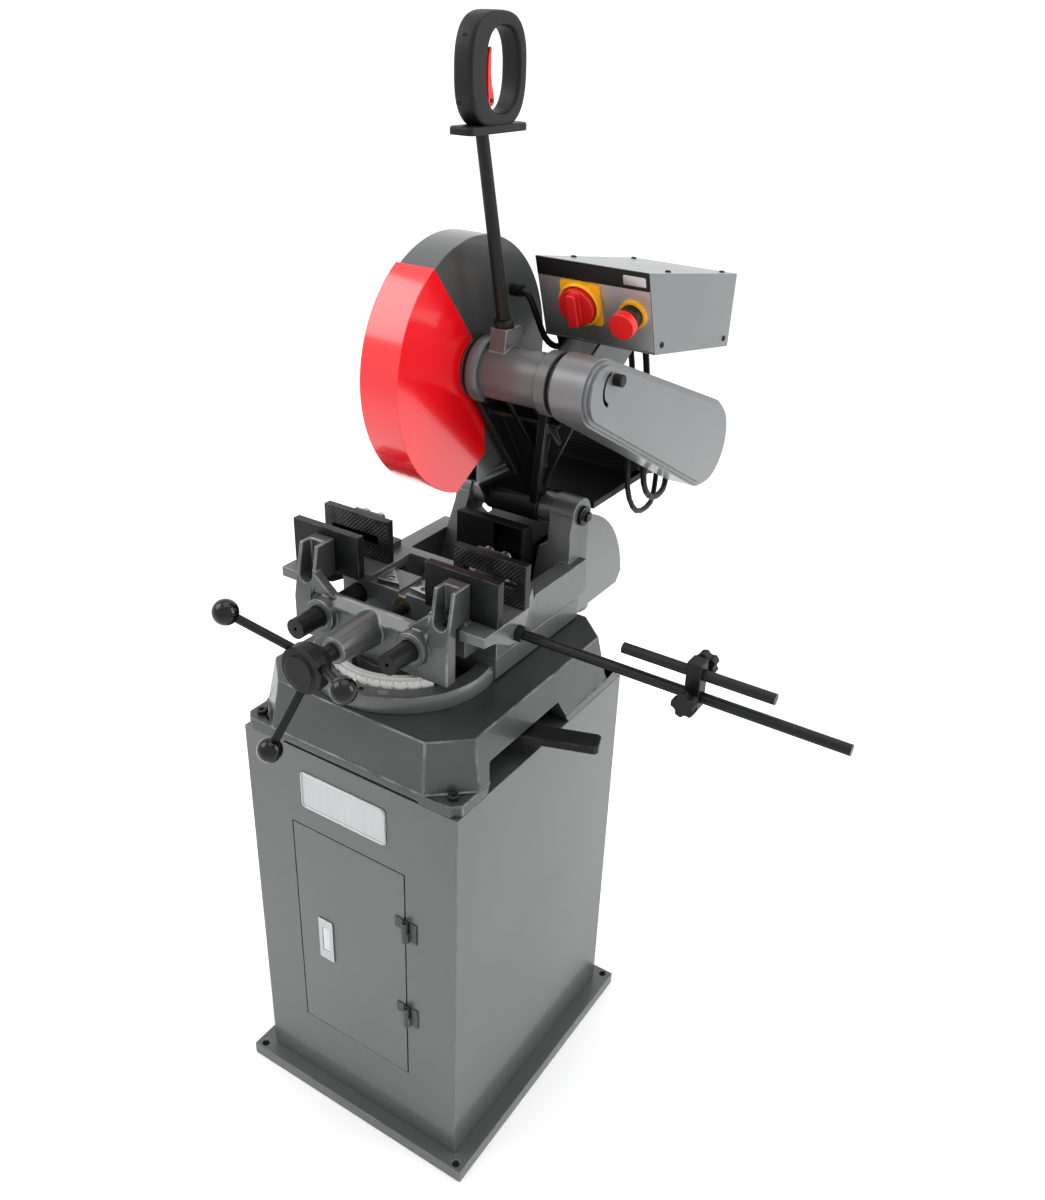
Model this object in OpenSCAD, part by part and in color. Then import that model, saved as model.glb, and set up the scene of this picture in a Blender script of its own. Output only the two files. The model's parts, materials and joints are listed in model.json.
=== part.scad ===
// Manual cut-off saw on a cabinet stand: swivelling bed top, double-jaw vise,
// belt-driven wheel head on a rear pivot, work stop and spark outlet.
// Origin: middle of the anchor pattern on the floor. +X to the operator's right,
// +Y to the back, +Z up. Everything above the bed is placed from the swivel axis.

/* [Stand] */
// Width of the cabinet
cabinet_w = 422; // [380:1:520]
// Depth of the cabinet
cabinet_d = 492; // [450:1:600]
// Height of the cabinet top above the floor
cabinet_h = 760; // [620:1:920]
// Thickness of the cabinet sheet
sheet_t = 2.5; // [1.5:0.5:4]
// How far the floor tray stands out at each side
tray_over_x = 30; // [24:1:50]
// How far the floor tray stands out at the front and the back
tray_over_y = 26; // [22:1:50]
// Height of the floor tray
tray_h = 25; // [15:1:40]
// Radius of the anchor holes
anchor_r = 6.5; // [4:0.5:8]
// Anchor holes, from the tray's side edges
anchor_in_x = 17; // [14:1:22]
// Anchor holes, from the tray's front and back edges
anchor_in_y = 12; // [11:1:20]
// Width of the door
door_w = 229; // [180:1:300]
// Height of the door
door_h = 445; // [300:1:500]
// Height of the door's lower edge
door_z = 162; // [80:1:170]
// How far the door sits left of the middle
door_shift = 4.5; // [0:0.5:20]
// Clearance round the door
door_gap = 2; // [1:0.5:4]

/* [Bed] */
// Height of the bed casting
bed_h = 102; // [92:1:130]
// Height of the bed's corner lugs
lug_h = 20; // [12:1:26]
// Wall of the bed casting
bed_wall = 14; // [10:1:18]
// Thickness of the bed's top
bed_top_t = 20; // [14:1:24]
// Radius of the swivel spigot
spigot_r = 45; // [30:1:60]
// Length of the lock lever from its stud
lever_l = 253; // [230:1:300]

/* [Table and vise] */
// Radius of the turntable ring
ring_r = 151; // [145:1:160]
// Height of the table above the bed
table_rise = 138; // [130:1:160]
// Thickness of the table deck
deck_t = 17; // [14:1:20]
// Reach of the jaws and wings from the cut line
jaw_reach = 195; // [180:1:220]
// Half of the gap between the left and the right jaws
jaw_inner = 64; // [50:1:75]
// Height of the jaw plates
jaw_h = 73; // [60:1:90]
// Thickness of the jaw plates
jaw_t = 14; // [10:1:18]
// Distance between the jaws' clamping faces
jaw_open = 58; // [52:1:66]
// Clamping face of the fixed jaws, behind the swivel axis
jaw_y = 42.5; // [38:0.5:46]
// Radius of the guide bars
bar_r = 16.3; // [12:0.1:20]
// Half of the distance between the guide bars
bar_x = 87.5; // [80:0.5:92]
// Height of the vise screw below the table
vise_drop = 38; // [36:1:44]
// Radius of the vise screw
screw_r = 10; // [7:0.5:13]
// Radius to the handwheel's balls
wheel_reach = 124; // [90:1:130]
// Radius of the handwheel's balls
ball_r = 19; // [14:1:22]

/* [Head] */
// Diameter of the cutting wheel
wheel_d = 355; // [290:1:430]
// Thickness of the cutting wheel
wheel_t = 3; // [2:0.5:5]
// Radius of the arbor
arbor_r = 12.7; // [10:0.1:16]
// Width over the guard's sides
guard_w = 66; // [58:1:76]
// Distance from the head pivot to the spindle
arm_l = 333; // [300:1:400]
// Rise of the arm at rest, degrees
arm_rise = 57.3; // [50:0.1:62]
// Head pivot, behind the swivel axis
pivot_y = 325; // [315:1:400]
// Head pivot, above the table
pivot_up = 38; // [34:1:60]
// Radius of the pivot pin
pin_r = 12; // [8:1:16]
// Radius of the spindle tube
tube_r = 41; // [38:1:46]

/* [Drive] */
// Radius of the spindle
spindle_r = 15; // [12:0.5:19]
// Radius of the spindle pulley
pulley_a = 40; // [32:1:44]
// Radius of the motor pulley
pulley_b = 60; // [48:1:68]
// Radius of the motor
motor_r = 76; // [64:1:80]
// Wall of the belt cover
cover_t = 2.5; // [1.5:0.5:4]
// Outer face of the belt cover
cover_x = 250; // [244:1:262]

/* [Stop] */
// Radius of the work-stop rods
rod_r = 8; // [6:0.5:10]
// Reach of the main rod from the cut line
rod_end = 705; // [500:1:900]
// Where the stop's clamp stands on the rod
clamp_x = 483; // [420:1:520]

/* [Fits] */
// Radial clearance of running fits
run = 0.05; // [0.02:0.01:0.1]
// Clearance between faces that pass each other
pass = 0.3; // [0.3:0.1:1]

/* [Hidden] */

swivel_x = -18;
swivel_y = -73.5;
cab_x = cabinet_w / 2;
cab_y = cabinet_d / 2;
tray_x = cab_x + tray_over_x;
tray_y = cab_y + tray_over_y;
anchor_x = tray_x - anchor_in_x;
anchor_y = tray_y - anchor_in_y;
door_x0 = -door_w / 2 - door_shift;
door_x1 = door_w / 2 - door_shift;
hinge_x = door_x1 + 5;
hinge_y = -cab_y - 6;
bed_z = cabinet_h + bed_h;
table_z = bed_z + table_rise;
deck_z = table_z - deck_t;
beam_z = bed_z + 41;
wall_z = table_z - 32;
vise_z = table_z - vise_drop;
lug_x = cab_x - 22;
lug_y = cab_y - 20;
lever_px = 70;
lever_py = -92;
lever_turn = 19.6;
lever_z = cabinet_h + 30;
// front jaw: clamping face, and the face that bolts to the casting
front_y = jaw_y - jaw_open;
cast_y = front_y - jaw_t;
wall_x = 150;
cross_y0 = -4;
cross_y1 = 57;
body_y = cross_y0 - jaw_open - 2.5;
collar_y = body_y - 33.5;
nose_y = collar_y - 69;
hub_face = nose_y - 68;
ball_y = hub_face - 42;
pivot_z = table_z + pivot_up;
hub_y = pivot_y - arm_l * cos(arm_rise);
hub_z = pivot_z + arm_l * sin(arm_rise);
ear_x = 82;
ear_right = 128;
ear_left = 111;
ear_r = pin_r + 19;
eye_x = 54;
eye_r = pin_r + 18;
grey_x = guard_w / 2 - 3;
grey_r = wheel_d / 2 + 11.5;
red_r = grey_r + 4;
skin = 2.5;
boss_r = 36;
seat_r = 30;
arm_end = arm_l - red_r - 14;
motor_y = pivot_y + 228;
motor_z = pivot_z + 89;
cover_x0 = 188;
front_r = tube_r + 9;
rear_r = motor_r + 2;
tilt = 18.43;
box_x0 = 84;
box_x1 = 270;
box_y = hub_y + 108;
box_z = hub_z + 36.5;
grip_x = 80;
stop_y = 27;
stop_z = table_z - 30;

function arc(y, z, r, a0, a1, n = 10) = [for (i = [0:n]) [y + r * cos(a0 + (a1 - a0) * i / n),
  z + r * sin(a0 + (a1 - a0) * i / n)]];
function rrect(x0, y0, x1, y1, r) = concat(arc(x1 - r, y1 - r, r, 0, 90, 5),
  arc(x0 + r, y1 - r, r, 90, 180, 5), arc(x0 + r, y0 + r, r, 180, 270, 5),
  arc(x1 - r, y0 + r, r, 270, 360, 5));
function octagon(x, y, cx, cy) = [[x, -y + cy], [x, y - cy], [x - cx, y], [cx - x, y],
  [-x, y - cy], [-x, cy - y], [cx - x, -y], [x - cx, -y]];
// outline round two circles, joined by their outer tangents
function belt_line(a, ra, b, rb, n = 28) = let (d = norm(b - a), th = atan2(b.y - a.y, b.x - a.x),
  off = acos((ra - rb) / d))
  concat(arc(a.x, a.y, ra, th + off, th + 360 - off, n), arc(b.x, b.y, rb, th - off, th + off, n));
// point on the guard, a degrees below the forward direction
function guard_at(r, a) = [hub_y - r * cos(a), hub_z - r * sin(a)];
function from_hub(y, z) = [hub_y + y, hub_z + z];
function spline(p, k, t) = let (a = p[max(k - 1, 0)], b = p[k], c = p[k + 1],
  d = p[min(k + 2, len(p) - 1)])
  0.5 * (2 * b + (c - a) * t + (2 * a - 5 * b + 4 * c - d) * t * t
  + (3 * b - a - 3 * c + d) * t * t * t);
function route(p, n) = concat([for (k = [0:len(p) - 2]) for (i = [0:n - 1]) spline(p, k, i / n)],
  [p[len(p) - 1]]);

module block(x0, x1, y0, y1, z0, z1) { translate([x0, y0, z0]) cube([x1 - x0, y1 - y0, z1 - z0]); }
module xrod(x0, x1, y, z, r) {
  translate([x0, y, z]) rotate([0, 90, 0]) cylinder(h = x1 - x0, r = r, $fn = 96);
}
module yrod(y0, y1, x, z, r) {
  translate([x, y0, z]) rotate([-90, 0, 0]) cylinder(h = y1 - y0, r = r, $fn = 96);
}
module zrod(z0, z1, x, y, r) { translate([x, y, z0]) cylinder(h = z1 - z0, r = r, $fn = 96); }
// a (y, z) outline drawn from x0 to x1
module side(x0, x1, pts) {
  translate([x0, 0, 0]) rotate([90, 0, 90]) linear_extrude(x1 - x0) polygon(pts);
}
// an (x, z) outline drawn from y0 to y1
module front(y0, y1, pts) {
  translate([0, y1, 0]) rotate([90, 0, 0]) linear_extrude(y1 - y0) polygon(pts);
}
// an (x, y) outline drawn from z0 to z1
module plan(z0, z1, pts) { translate([0, 0, z0]) linear_extrude(z1 - z0) polygon(pts); }
module loft(p0, z0, p1, z1) {
  n = len(p0);
  polyhedron(
    points = concat([for (p = p0) [p.x, p.y, z0]], [for (p = p1) [p.x, p.y, z1]]),
    faces = concat([[for (i = [0:n - 1]) i]], [[for (i = [0:n - 1]) 2 * n - 1 - i]],
      [for (i = [0:n - 1]) [i, n + i, n + (i + 1) % n]],
      [for (i = [0:n - 1]) [i, n + (i + 1) % n, (i + 1) % n]]));
}
module both() {
  children();
  mirror([1, 0, 0]) children();
}
module corners(x, y) {
  for (sx = [-1, 1]) for (sy = [-1, 1]) translate([sx * x, sy * y, 0]) children();
}
module up() { translate([swivel_x, swivel_y, 0]) children(); }
module panel() { up() translate([0, box_y, box_z]) rotate([tilt, 0, 0]) children(); }
// the control panel's own frame, almost flush with the box's rim
module face() panel() translate([0, -7.4, 0]) children();
// along the head's arm: +Y from the pivot to the spindle, +Z to its underside
module arm() {
  up() translate([0, pivot_y, pivot_z]) rotate([180 - arm_rise, 0, 0]) children();
}
module tube(p, r, n = 8) {
  m = len(p);
  ref = [1, 0.31, 0.17];
  rings = [for (i = [0:m - 1]) let (t0 = p[min(i + 1, m - 1)] - p[max(i - 1, 0)], t = t0 / norm(t0),
    s0 = ref - (ref * t) * t, s = s0 / norm(s0), b = cross(t, s))
    for (j = [0:n - 1]) p[i] + r * (cos(360 * j / n) * s + sin(360 * j / n) * b)];
  polyhedron(points = rings,
    faces = concat([[for (j = [0:n - 1]) j]], [[for (j = [0:n - 1]) m * n - 1 - j]],
      [for (i = [0:m - 2]) for (j = [0:n - 1]) [i * n + (j + 1) % n, i * n + j, (i + 1) * n + j]],
      [for (i = [0:m - 2]) for (j = [0:n - 1])
        [(i + 1) * n + (j + 1) % n, i * n + (j + 1) % n, (i + 1) * n + j]]));
}

module floor_tray() color("#5f6161") difference() {
  block(-tray_x, tray_x, -tray_y, tray_y, 0, tray_h);
  difference() {
    block(-tray_x + 3, tray_x - 3, -tray_y + 3, tray_y - 3, -1, tray_h - 3);
    corners(anchor_x, anchor_y) block(-16, 16, -16, 16, -2, tray_h);
  }
  corners(anchor_x, anchor_y) zrod(-1, tray_h + 1, 0, 0, anchor_r);
}

module cabinet_shell() color("#6b6d6c") difference() {
  block(-cab_x, cab_x, -cab_y, cab_y, tray_h, cabinet_h);
  block(-cab_x + sheet_t, cab_x - sheet_t, -cab_y + sheet_t, cab_y - sheet_t,
    tray_h - 1, cabinet_h - sheet_t);
  block(-cab_x + 62, cab_x - 62, -cab_y + 56, cab_y - 56, cabinet_h - 10, cabinet_h + 1);
  block(door_x0 - door_gap, door_x1 + door_gap, -cab_y - 1, -cab_y + 10,
    door_z - door_gap, door_z + door_h + door_gap);
  corners(lug_x, lug_y) zrod(cabinet_h - 10, cabinet_h + 1, 0, 0, 5);
}

module cabinet_door() color("#737574") difference() {
  block(door_x0, door_x1, -cab_y, -cab_y + 18, door_z, door_z + door_h);
  block(door_x0 + 2, door_x1 - 2, -cab_y + 2, -cab_y + 19, door_z + 2, door_z + door_h - 2);
  block(door_x0 + 52, door_x0 + 67, -cab_y - 1, -cab_y + 3, door_z + 190, door_z + 242);
}

// two lift-off hinges: lower knuckles and pins on the cabinet
module hinge_leaves() color("#8a8c8c") for (z = [door_z + 145, door_z + 335]) {
  difference() {
    union() {
      block(hinge_x + 4, hinge_x + 20, -cab_y - 2.5, -cab_y, z - 20, z + 20);
      block(hinge_x, hinge_x + 7, hinge_y - 1.5, -cab_y - 1, z - 20, z - pass);
    }
    zrod(z - 21, z, hinge_x, hinge_y, 5.5);
    zrod(z - pass, z + 21, hinge_x, hinge_y, 8);
  }
  zrod(z - 20, z - pass, hinge_x, hinge_y, 5.5);
  zrod(z - 20, z + 18, hinge_x, hinge_y, 2.5);
}

// upper knuckles, on the door
module door_leaves() color("#8a8c8c") for (z = [door_z + 145, door_z + 335]) difference() {
  union() {
    block(door_x1 - 18, door_x1 - 0.5, -cab_y - 2.5, -cab_y, z, z + 20);
    block(door_x1 - 4, hinge_x, -cab_y - 5, -cab_y - 2.4, z, z + 20);
    zrod(z, z + 20, hinge_x, hinge_y, 5.5);
  }
  zrod(z - 1, z + 21, hinge_x, hinge_y, 2.5 + run);
}

module latch_plate() color("#c4c6c6") difference() {
  block(door_x0 + 44, door_x0 + 75, -cab_y - 3, -cab_y, door_z + 171, door_z + 260);
  block(door_x0 + 52, door_x0 + 67, -cab_y - 4, -cab_y + 1, door_z + 190, door_z + 242);
}

module latch_paddle() color("#9fa1a2") {
  block(door_x0 + 52.5, door_x0 + 66.5, -cab_y - 2, -cab_y + 1, door_z + 191, door_z + 241);
  block(door_x0 + 53, door_x0 + 66, -cab_y + 1, -cab_y + 5, door_z + 228, door_z + 240);
}

module name_plate() color("#cfd1d1") front(-cab_y - 2, -cab_y,
  rrect(-94, cabinet_h - 110, 78, cabinet_h - 40, 8));

module bed_casting() color("#707272") difference() {
  union() {
    plan(cabinet_h, cabinet_h + lug_h, octagon(cab_x, cab_y, 14, 14));
    loft(octagon(cab_x, cab_y, 62, 56), cabinet_h + lug_h - 0.5,
      octagon(cab_x - 16, cab_y - 14.5, 53, 49.5), bed_z);
  }
  difference() {
    plan(cabinet_h - 1, bed_z - bed_top_t, octagon(cab_x - 16 - bed_wall, cab_y - 14.5 - bed_wall, 60, 56));
    zrod(bed_z - 50, bed_z, swivel_x, swivel_y, spigot_r + 30);
    zrod(bed_z - 50, bed_z, lever_px, lever_py, 22);
  }
  zrod(bed_z - 60, bed_z + 1, swivel_x, swivel_y, spigot_r + run);
  zrod(bed_z - 60, bed_z + 1, lever_px, lever_py, 8 + run);
  side(cab_x - 45, cab_x + 5, [[-168, cabinet_h - 1], [-156, cabinet_h + 50],
    [39, cabinet_h + 50], [67, cabinet_h - 1]]);
  block(-126, 140, -cab_y - 1, -cab_y + 42, cabinet_h - 1, cabinet_h + 4);
  corners(lug_x, lug_y) zrod(cabinet_h - 1, cabinet_h + lug_h + 1, 0, 0, 5);
}

module bed_bolts() color("#2c2c2c") corners(lug_x, lug_y) difference() {
  union() {
    zrod(cabinet_h - 14, cabinet_h + lug_h + 1, 0, 0, 5);
    zrod(cabinet_h + lug_h, cabinet_h + lug_h + 8, 0, 0, 8);
  }
  translate([0, 0, cabinet_h + lug_h + 4]) cylinder(h = 5, r = 4.6, $fn = 6);
}

// fixed graduated band, concentric with the swivel
module degree_scale() color("#d8dada") translate([swivel_x, swivel_y, bed_z])
  rotate([0, 0, 210]) rotate_extrude(angle = 120, $fn = 120)
  polygon([[84, 0], [118, 0], [118, 43], [108, 43], [108, 8], [84, 8]]);

module lock_lever() color("#1e1e1e") translate([lever_px, lever_py, 0]) {
  rotate([0, 0, lever_turn]) plan(lever_z, lever_z + 14, [[0, -17], [120, -19],
    [lever_l - 5, -19], [lever_l, -14], [lever_l, 14], [lever_l - 5, 19], [120, 19], [0, 17]]);
  zrod(lever_z - 4, lever_z + 18, 0, 0, 24);
  zrod(lever_z - 10, bed_z - 1, 0, 0, 8);
}

module turntable() color("#7d7f80") up() difference() {
  union() {
    translate([0, 0, bed_z]) rotate_extrude($fn = 144) polygon([[121, pass], [ring_r, pass],
      [ring_r, 18], [ring_r - 5, 26], [121, 26]]);
    zrod(bed_z + pass, bed_z + 34, 0, 0, 78);
    zrod(bed_z - 47, bed_z + 1, 0, 0, spigot_r);
    plan(bed_z + 3, beam_z, [[wall_x, 37], [wall_x, 290], [132, 308], [-132, 308],
      [-wall_x, 290], [-wall_x, 37]]);
  }
  block(-128, 128, 130, 290, bed_z, beam_z - 12);
}

module scale_pointer() color("#e6e6e2") up()
  plan(bed_z + 26, bed_z + 29, [[-7, -140], [7, -140], [1.5, -119.5], [-1.5, -119.5]]);

module wing_outline(z0, z1) plan(z0, z1, [[wall_x, -62], [jaw_reach, -62], [jaw_reach, 48],
  [wall_x + 8, 130], [wall_x, 150]]);

// one leg of the yoke that carries the head, up to the given outer face
module upright(outer) {
  intersection() {
    side(60, wall_x, [[256, beam_z], [318, beam_z], [pivot_y + ear_r, pivot_z],
      [pivot_y - ear_r, pivot_z]]);
    front(200, 400, [[72, beam_z], [outer + 18, beam_z], [outer, pivot_z - 20], [outer, pivot_z],
      [ear_x, pivot_z], [ear_x + 6, table_z - 8], [72, table_z - 16]]);
  }
  xrod(ear_x, outer, pivot_y, pivot_z, ear_r - 0.5);
}

module table_casting() color("#7d7f80") up() difference() {
  union() {
    // deck with its blade slot and front recess
    plan(deck_z, table_z, [[wall_x, -62], [jaw_reach, -62], [jaw_reach, 48], [wall_x + 10, 118],
      [-wall_x - 10, 118], [-jaw_reach, 48], [-jaw_reach, -62], [-wall_x, -62], [-wall_x, cross_y0],
      [-7, cross_y0], [-7, 92], [7, 92], [7, cross_y0], [wall_x, cross_y0]]);
    // cross wall for the guide bars and the nut
    block(-120, 120, cross_y0, cross_y1, beam_z + 9, deck_z);
    block(-120, 120, 38, cross_y1, beam_z, beam_z + 9);
    both() {
      side(118, wall_x, [[38, beam_z], [318, beam_z], [312, wall_z], [132, wall_z], [112, table_z],
        [38, table_z - 1]]);
      intersection() {
        side(wall_x - 1, jaw_reach, [[-62, deck_z + 1], [-62, table_z], [112, table_z], [132, wall_z],
          [150, wall_z], [150, beam_z + 10], [95, deck_z - 45], [45, deck_z - 33], [5, deck_z - 25], [-35, deck_z - 4]]);
        wing_outline(beam_z, table_z);
      }
      xrod(eye_x + pass, ear_x + 1, pivot_y, pivot_z, pin_r + 14);
    }
    upright(ear_right);
    mirror([1, 0, 0]) upright(ear_left);
  }
  xrod(-140, 140, pivot_y, pivot_z, pin_r);
  both() yrod(-80, cross_y1 + 1, bar_x, vise_z, bar_r);
  yrod(-80, cross_y1 + 1, 0, vise_z, screw_r + 6);
  block(-62, 62, -70, cross_y1, table_z - 10, table_z + 1);
  block(-62, 62, cross_y1, 98, deck_z - 1, table_z + 1);
  both() for (x = [24, 96 + 30]) zrod(deck_z, table_z + 1, x == 24 ? 34 : 126, x == 24 ? 11 : 90, 4);
  xrod(jaw_reach - 30, jaw_reach + 1, stop_y, stop_z, rod_r);
}

module slot_blocks() color("#9c9e9e") up() both() difference() {
  plan(table_z - 10, table_z, [[10, 2], [50, -3], [46, 36]]);
  zrod(table_z - 11, table_z + 1, 34, 11, 4);
  zrod(table_z - 4, table_z + 1, 34, 11, 7);
}

module jaw_slot(y0, y1) block(84, 178, y0, y1, table_z + 31, table_z + 43);

module rear_jaws() color("#2a2b2b") up() both() difference() {
  block(jaw_inner, jaw_reach, jaw_y, jaw_y + jaw_t, table_z, table_z + jaw_h);
  jaw_slot(jaw_y - 1, jaw_y + jaw_t + 1);
  for (x = [106, 136]) yrod(jaw_y + 5, jaw_y + jaw_t + 1, x, table_z + jaw_h - 14, 5);
}

module jaw_brackets() color("#5a5c5c") up() both() difference() {
  union() {
    block(92, 150, jaw_y + jaw_t, jaw_y + jaw_t + 14, table_z, table_z + jaw_h - 4);
    block(92, 150, jaw_y + jaw_t + 13, 112, table_z, table_z + 12);
    side(116, 126, [[jaw_y + jaw_t + 13, table_z + 11], [106, table_z + 11],
      [jaw_y + jaw_t + 13, table_z + 60]]);
  }
  jaw_slot(jaw_y + jaw_t - 1, jaw_y + jaw_t + 15);
  for (x = [106, 136]) yrod(jaw_y + jaw_t - 1, jaw_y + jaw_t + 15, x, table_z + jaw_h - 14, 5);
  zrod(table_z - 1, table_z + 13, 136, 94, 5);
}

module bracket_bolts() color("#c9cbcb") up() both() {
  for (x = [106, 136]) {
    yrod(jaw_y + 5, jaw_y + jaw_t + 15, x, table_z + jaw_h - 14, 5);
    yrod(jaw_y + jaw_t + 14, jaw_y + jaw_t + 24, x, table_z + jaw_h - 14, 9);
  }
  zrod(table_z, table_z + 13, 136, 94, 5);
  zrod(table_z + 12, table_z + 19, 136, 94, 8.5);
}

module guide_bars() color("#3c3d3e") up() both() difference() {
  yrod(nose_y + 17, cross_y1 + 43, bar_x, vise_z, bar_r);
  yrod(nose_y + 16, nose_y + 25, bar_x, vise_z, 3);
}

module vise_nut() color("#b08d4a") up() difference() {
  union() {
    yrod(cross_y0, cross_y1, 0, vise_z, screw_r + 6);
    yrod(cross_y1, cross_y1 + 8, 0, vise_z, min(screw_r + 14, vise_drop - deck_t - pass));
  }
  yrod(cross_y0 - 1, cross_y1 + 9, 0, vise_z, screw_r + run);
}

function spark_line(o) = [[235 + o, beam_z + o], [235 + o, pivot_z - 10 - o], [262 - o, pivot_z - 14 - o],
  [270 - o, pivot_z - 48 - o], [357, pivot_z - 48 - o], [357, beam_z + o]];

module spark_box() color("#161717") up() difference() {
  side(-68, 68, spark_line(0));
  intersection() {
    side(-66, 66, spark_line(2));
    block(-66, 66, 200, 356.9, 0, 2000);
  }
  block(8, 64, 230, 240, beam_z + 8, pivot_z - 14);
  block(-60, 60, 350, 360, beam_z + 8, pivot_z - 54);
}

function hood_line(o) = concat([[357, bed_z - 70 + o], [574 - o, bed_z - 70 + o], [592 - o, bed_z - 48]],
  arc(394, pivot_z - 246, 198 - o, 8, 90, 12), [[357, pivot_z - 48 - o]]);

module spark_hood() color("#8b8d8e") up() difference() {
  union() {
    difference() {
      side(-78, 78, hood_line(0));
      intersection() {
        side(-76, 76, hood_line(2));
        block(-76, 76, 359, 700, 0, 2000);
      }
    }
    zrod(bed_z - 115, bed_z - 68, 0, 512, 47);
  }
  zrod(bed_z - 116, bed_z - 60, 0, 512, 44.5);
  block(-60, 60, 350, 360, beam_z + 8, pivot_z - 54);
}

module pivot_pin() color("#8f9192") up() xrod(-ear_left - 2, ear_right + 2, pivot_y, pivot_z, pin_r);

module pivot_cap(outer) {
  difference() {
    xrod(outer, outer + 7, pivot_y, pivot_z, pin_r + 5);
    xrod(outer - 1, outer + 2, pivot_y, pivot_z, pin_r);
  }
  block(outer + 7, outer + 15, pivot_y - 7, pivot_y + 7, pivot_z - 7, pivot_z + 7);
}
module pivot_caps() color("#222323") up() {
  pivot_cap(ear_right);
  mirror([1, 0, 0]) pivot_cap(ear_left);
}

module stop_rail() color("#2b2c2d") up() {
  xrod(jaw_reach - 30, rod_end, stop_y, stop_z, rod_r);
  difference() {
    translate([jaw_reach, stop_y, stop_z]) rotate([0, 90, 0]) cylinder(h = 12, r = rod_r + 6, $fn = 6);
    xrod(jaw_reach - 1, jaw_reach + 13, stop_y, stop_z, rod_r - 0.01);
  }
}

module vise_casting() color("#6f7172") up() difference() {
  union() {
    side(-112, 112, [[body_y - 22.5, beam_z + 9], [body_y - 22.5, table_z - 22],
      [body_y - 8, table_z - 7.5], [body_y, table_z - 7.5], [body_y, beam_z + 9]]);
    both() {
      side(110, 147, [[body_y - 22.5, beam_z + 9], [body_y - 22.5, table_z - 26],
        [body_y - 4.5, table_z + 61], [cast_y, table_z + 61], [cast_y, table_z + 1.5],
        [body_y, table_z + 1.5], [body_y, beam_z + 9]]);
      front(body_y - 17, body_y, [[70, table_z - 12], [111, table_z - 12], [111, table_z + 22]]);
      yrod(collar_y, body_y, bar_x, vise_z, bar_r + 10.7);
    }
    translate([0, nose_y, vise_z]) rotate([-90, 0, 0]) rotate_extrude($fn = 96)
      polygon([[0, 0], [19, 0], [21, 2], [28, collar_y - nose_y], [28, body_y - nose_y], [0, body_y - nose_y]]);
  }
  both() {
    yrod(nose_y, body_y + 1, bar_x, vise_z, bar_r + run);
    yrod(nose_y, cast_y - 20.5, 128.5, table_z + 12, 12);
    block(116.5, 140.5, nose_y, cast_y - 20.5, table_z + 12, table_z + 70);
    yrod(cast_y - 22, cast_y + 1, 128.5, table_z + 17, 4);
  }
  yrod(nose_y - 1, body_y + 1, 0, vise_z, screw_r + run);
}

module front_jaws() color("#2a2b2b") up() both() difference() {
  block(jaw_inner, jaw_reach, cast_y, front_y, table_z + 0.5, table_z + jaw_h);
  yrod(cast_y - 1, cast_y + 9, 128.5, table_z + 17, 4);
}

module jaw_screws() color("#1d1d1d") up() both() difference() {
  union() {
    yrod(cast_y - 21, cast_y + 9, 128.5, table_z + 17, 4);
    yrod(cast_y - 28.5, cast_y - 20.5, 128.5, table_z + 17, 7);
  }
  translate([128.5, cast_y - 29, table_z + 17]) rotate([-90, 0, 0]) cylinder(h = 5, r = 3.6, $fn = 6);
}

module vise_screw() color("#55585a") up() {
  yrod(nose_y - 23, cross_y1 + 33, 0, vise_z, screw_r);
  difference() {
    yrod(nose_y - 23, nose_y - pass, 0, vise_z, screw_r + 3);
    yrod(nose_y - 24, nose_y, 0, vise_z, screw_r - 0.01);
  }
}

module spoke_axes() for (a = [137, 17, -103]) translate([0, 0, vise_z]) rotate([0, -a, 0])
  translate([22, hub_face + 22, 0]) rotate([0, 0, -atan2(hub_face + 22 - ball_y, wheel_reach - 22)])
  rotate([0, 90, 0]) children();

module handwheel_spokes() color("#2e2f30") up() spoke_axes()
  cylinder(h = norm([hub_face + 22 - ball_y, wheel_reach - 22]), r = 6.5, $fn = 48);

module handwheel_hub() color("#262727") up() difference() {
  translate([0, hub_face, vise_z]) rotate([-90, 0, 0]) rotate_extrude($fn = 96)
    polygon([[0, -4], [25, -4], [25, 0], [35, 0], [37, 2], [37, 22], [33, 30], [20, 45], [0, 45]]);
  spoke_axes() cylinder(h = 100, r = 6.5, $fn = 48);
}

module handwheel_balls() color("#101010") up() for (a = [137, 17, -103]) difference() {
  translate([wheel_reach * cos(a), ball_y, vise_z + wheel_reach * sin(a)]) sphere(r = ball_r, $fn = 64);
  spoke_axes() cylinder(h = norm([hub_face + 22 - ball_y, wheel_reach - 22]), r = 6.5, $fn = 48);
}

module stop_clamp() color("#202121") up() difference() {
  block(clamp_x - 11, clamp_x + 11, stop_y - 12, stop_y + 12, stop_z - 18, stop_z + 55);
  xrod(clamp_x - 12, clamp_x + 12, stop_y, stop_z, rod_r + run);
  xrod(clamp_x - 12, clamp_x + 12, stop_y, stop_z + 36, rod_r + run);
  yrod(stop_y - 13, stop_y - rod_r + 2, clamp_x, stop_z, 4);
  yrod(stop_y + rod_r - 2, stop_y + 13, clamp_x, stop_z + 36, 4);
}

module stop_rod() color("#3a3b3c") up() xrod(clamp_x - 113, clamp_x + 114, stop_y, stop_z + 36, rod_r);

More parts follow.
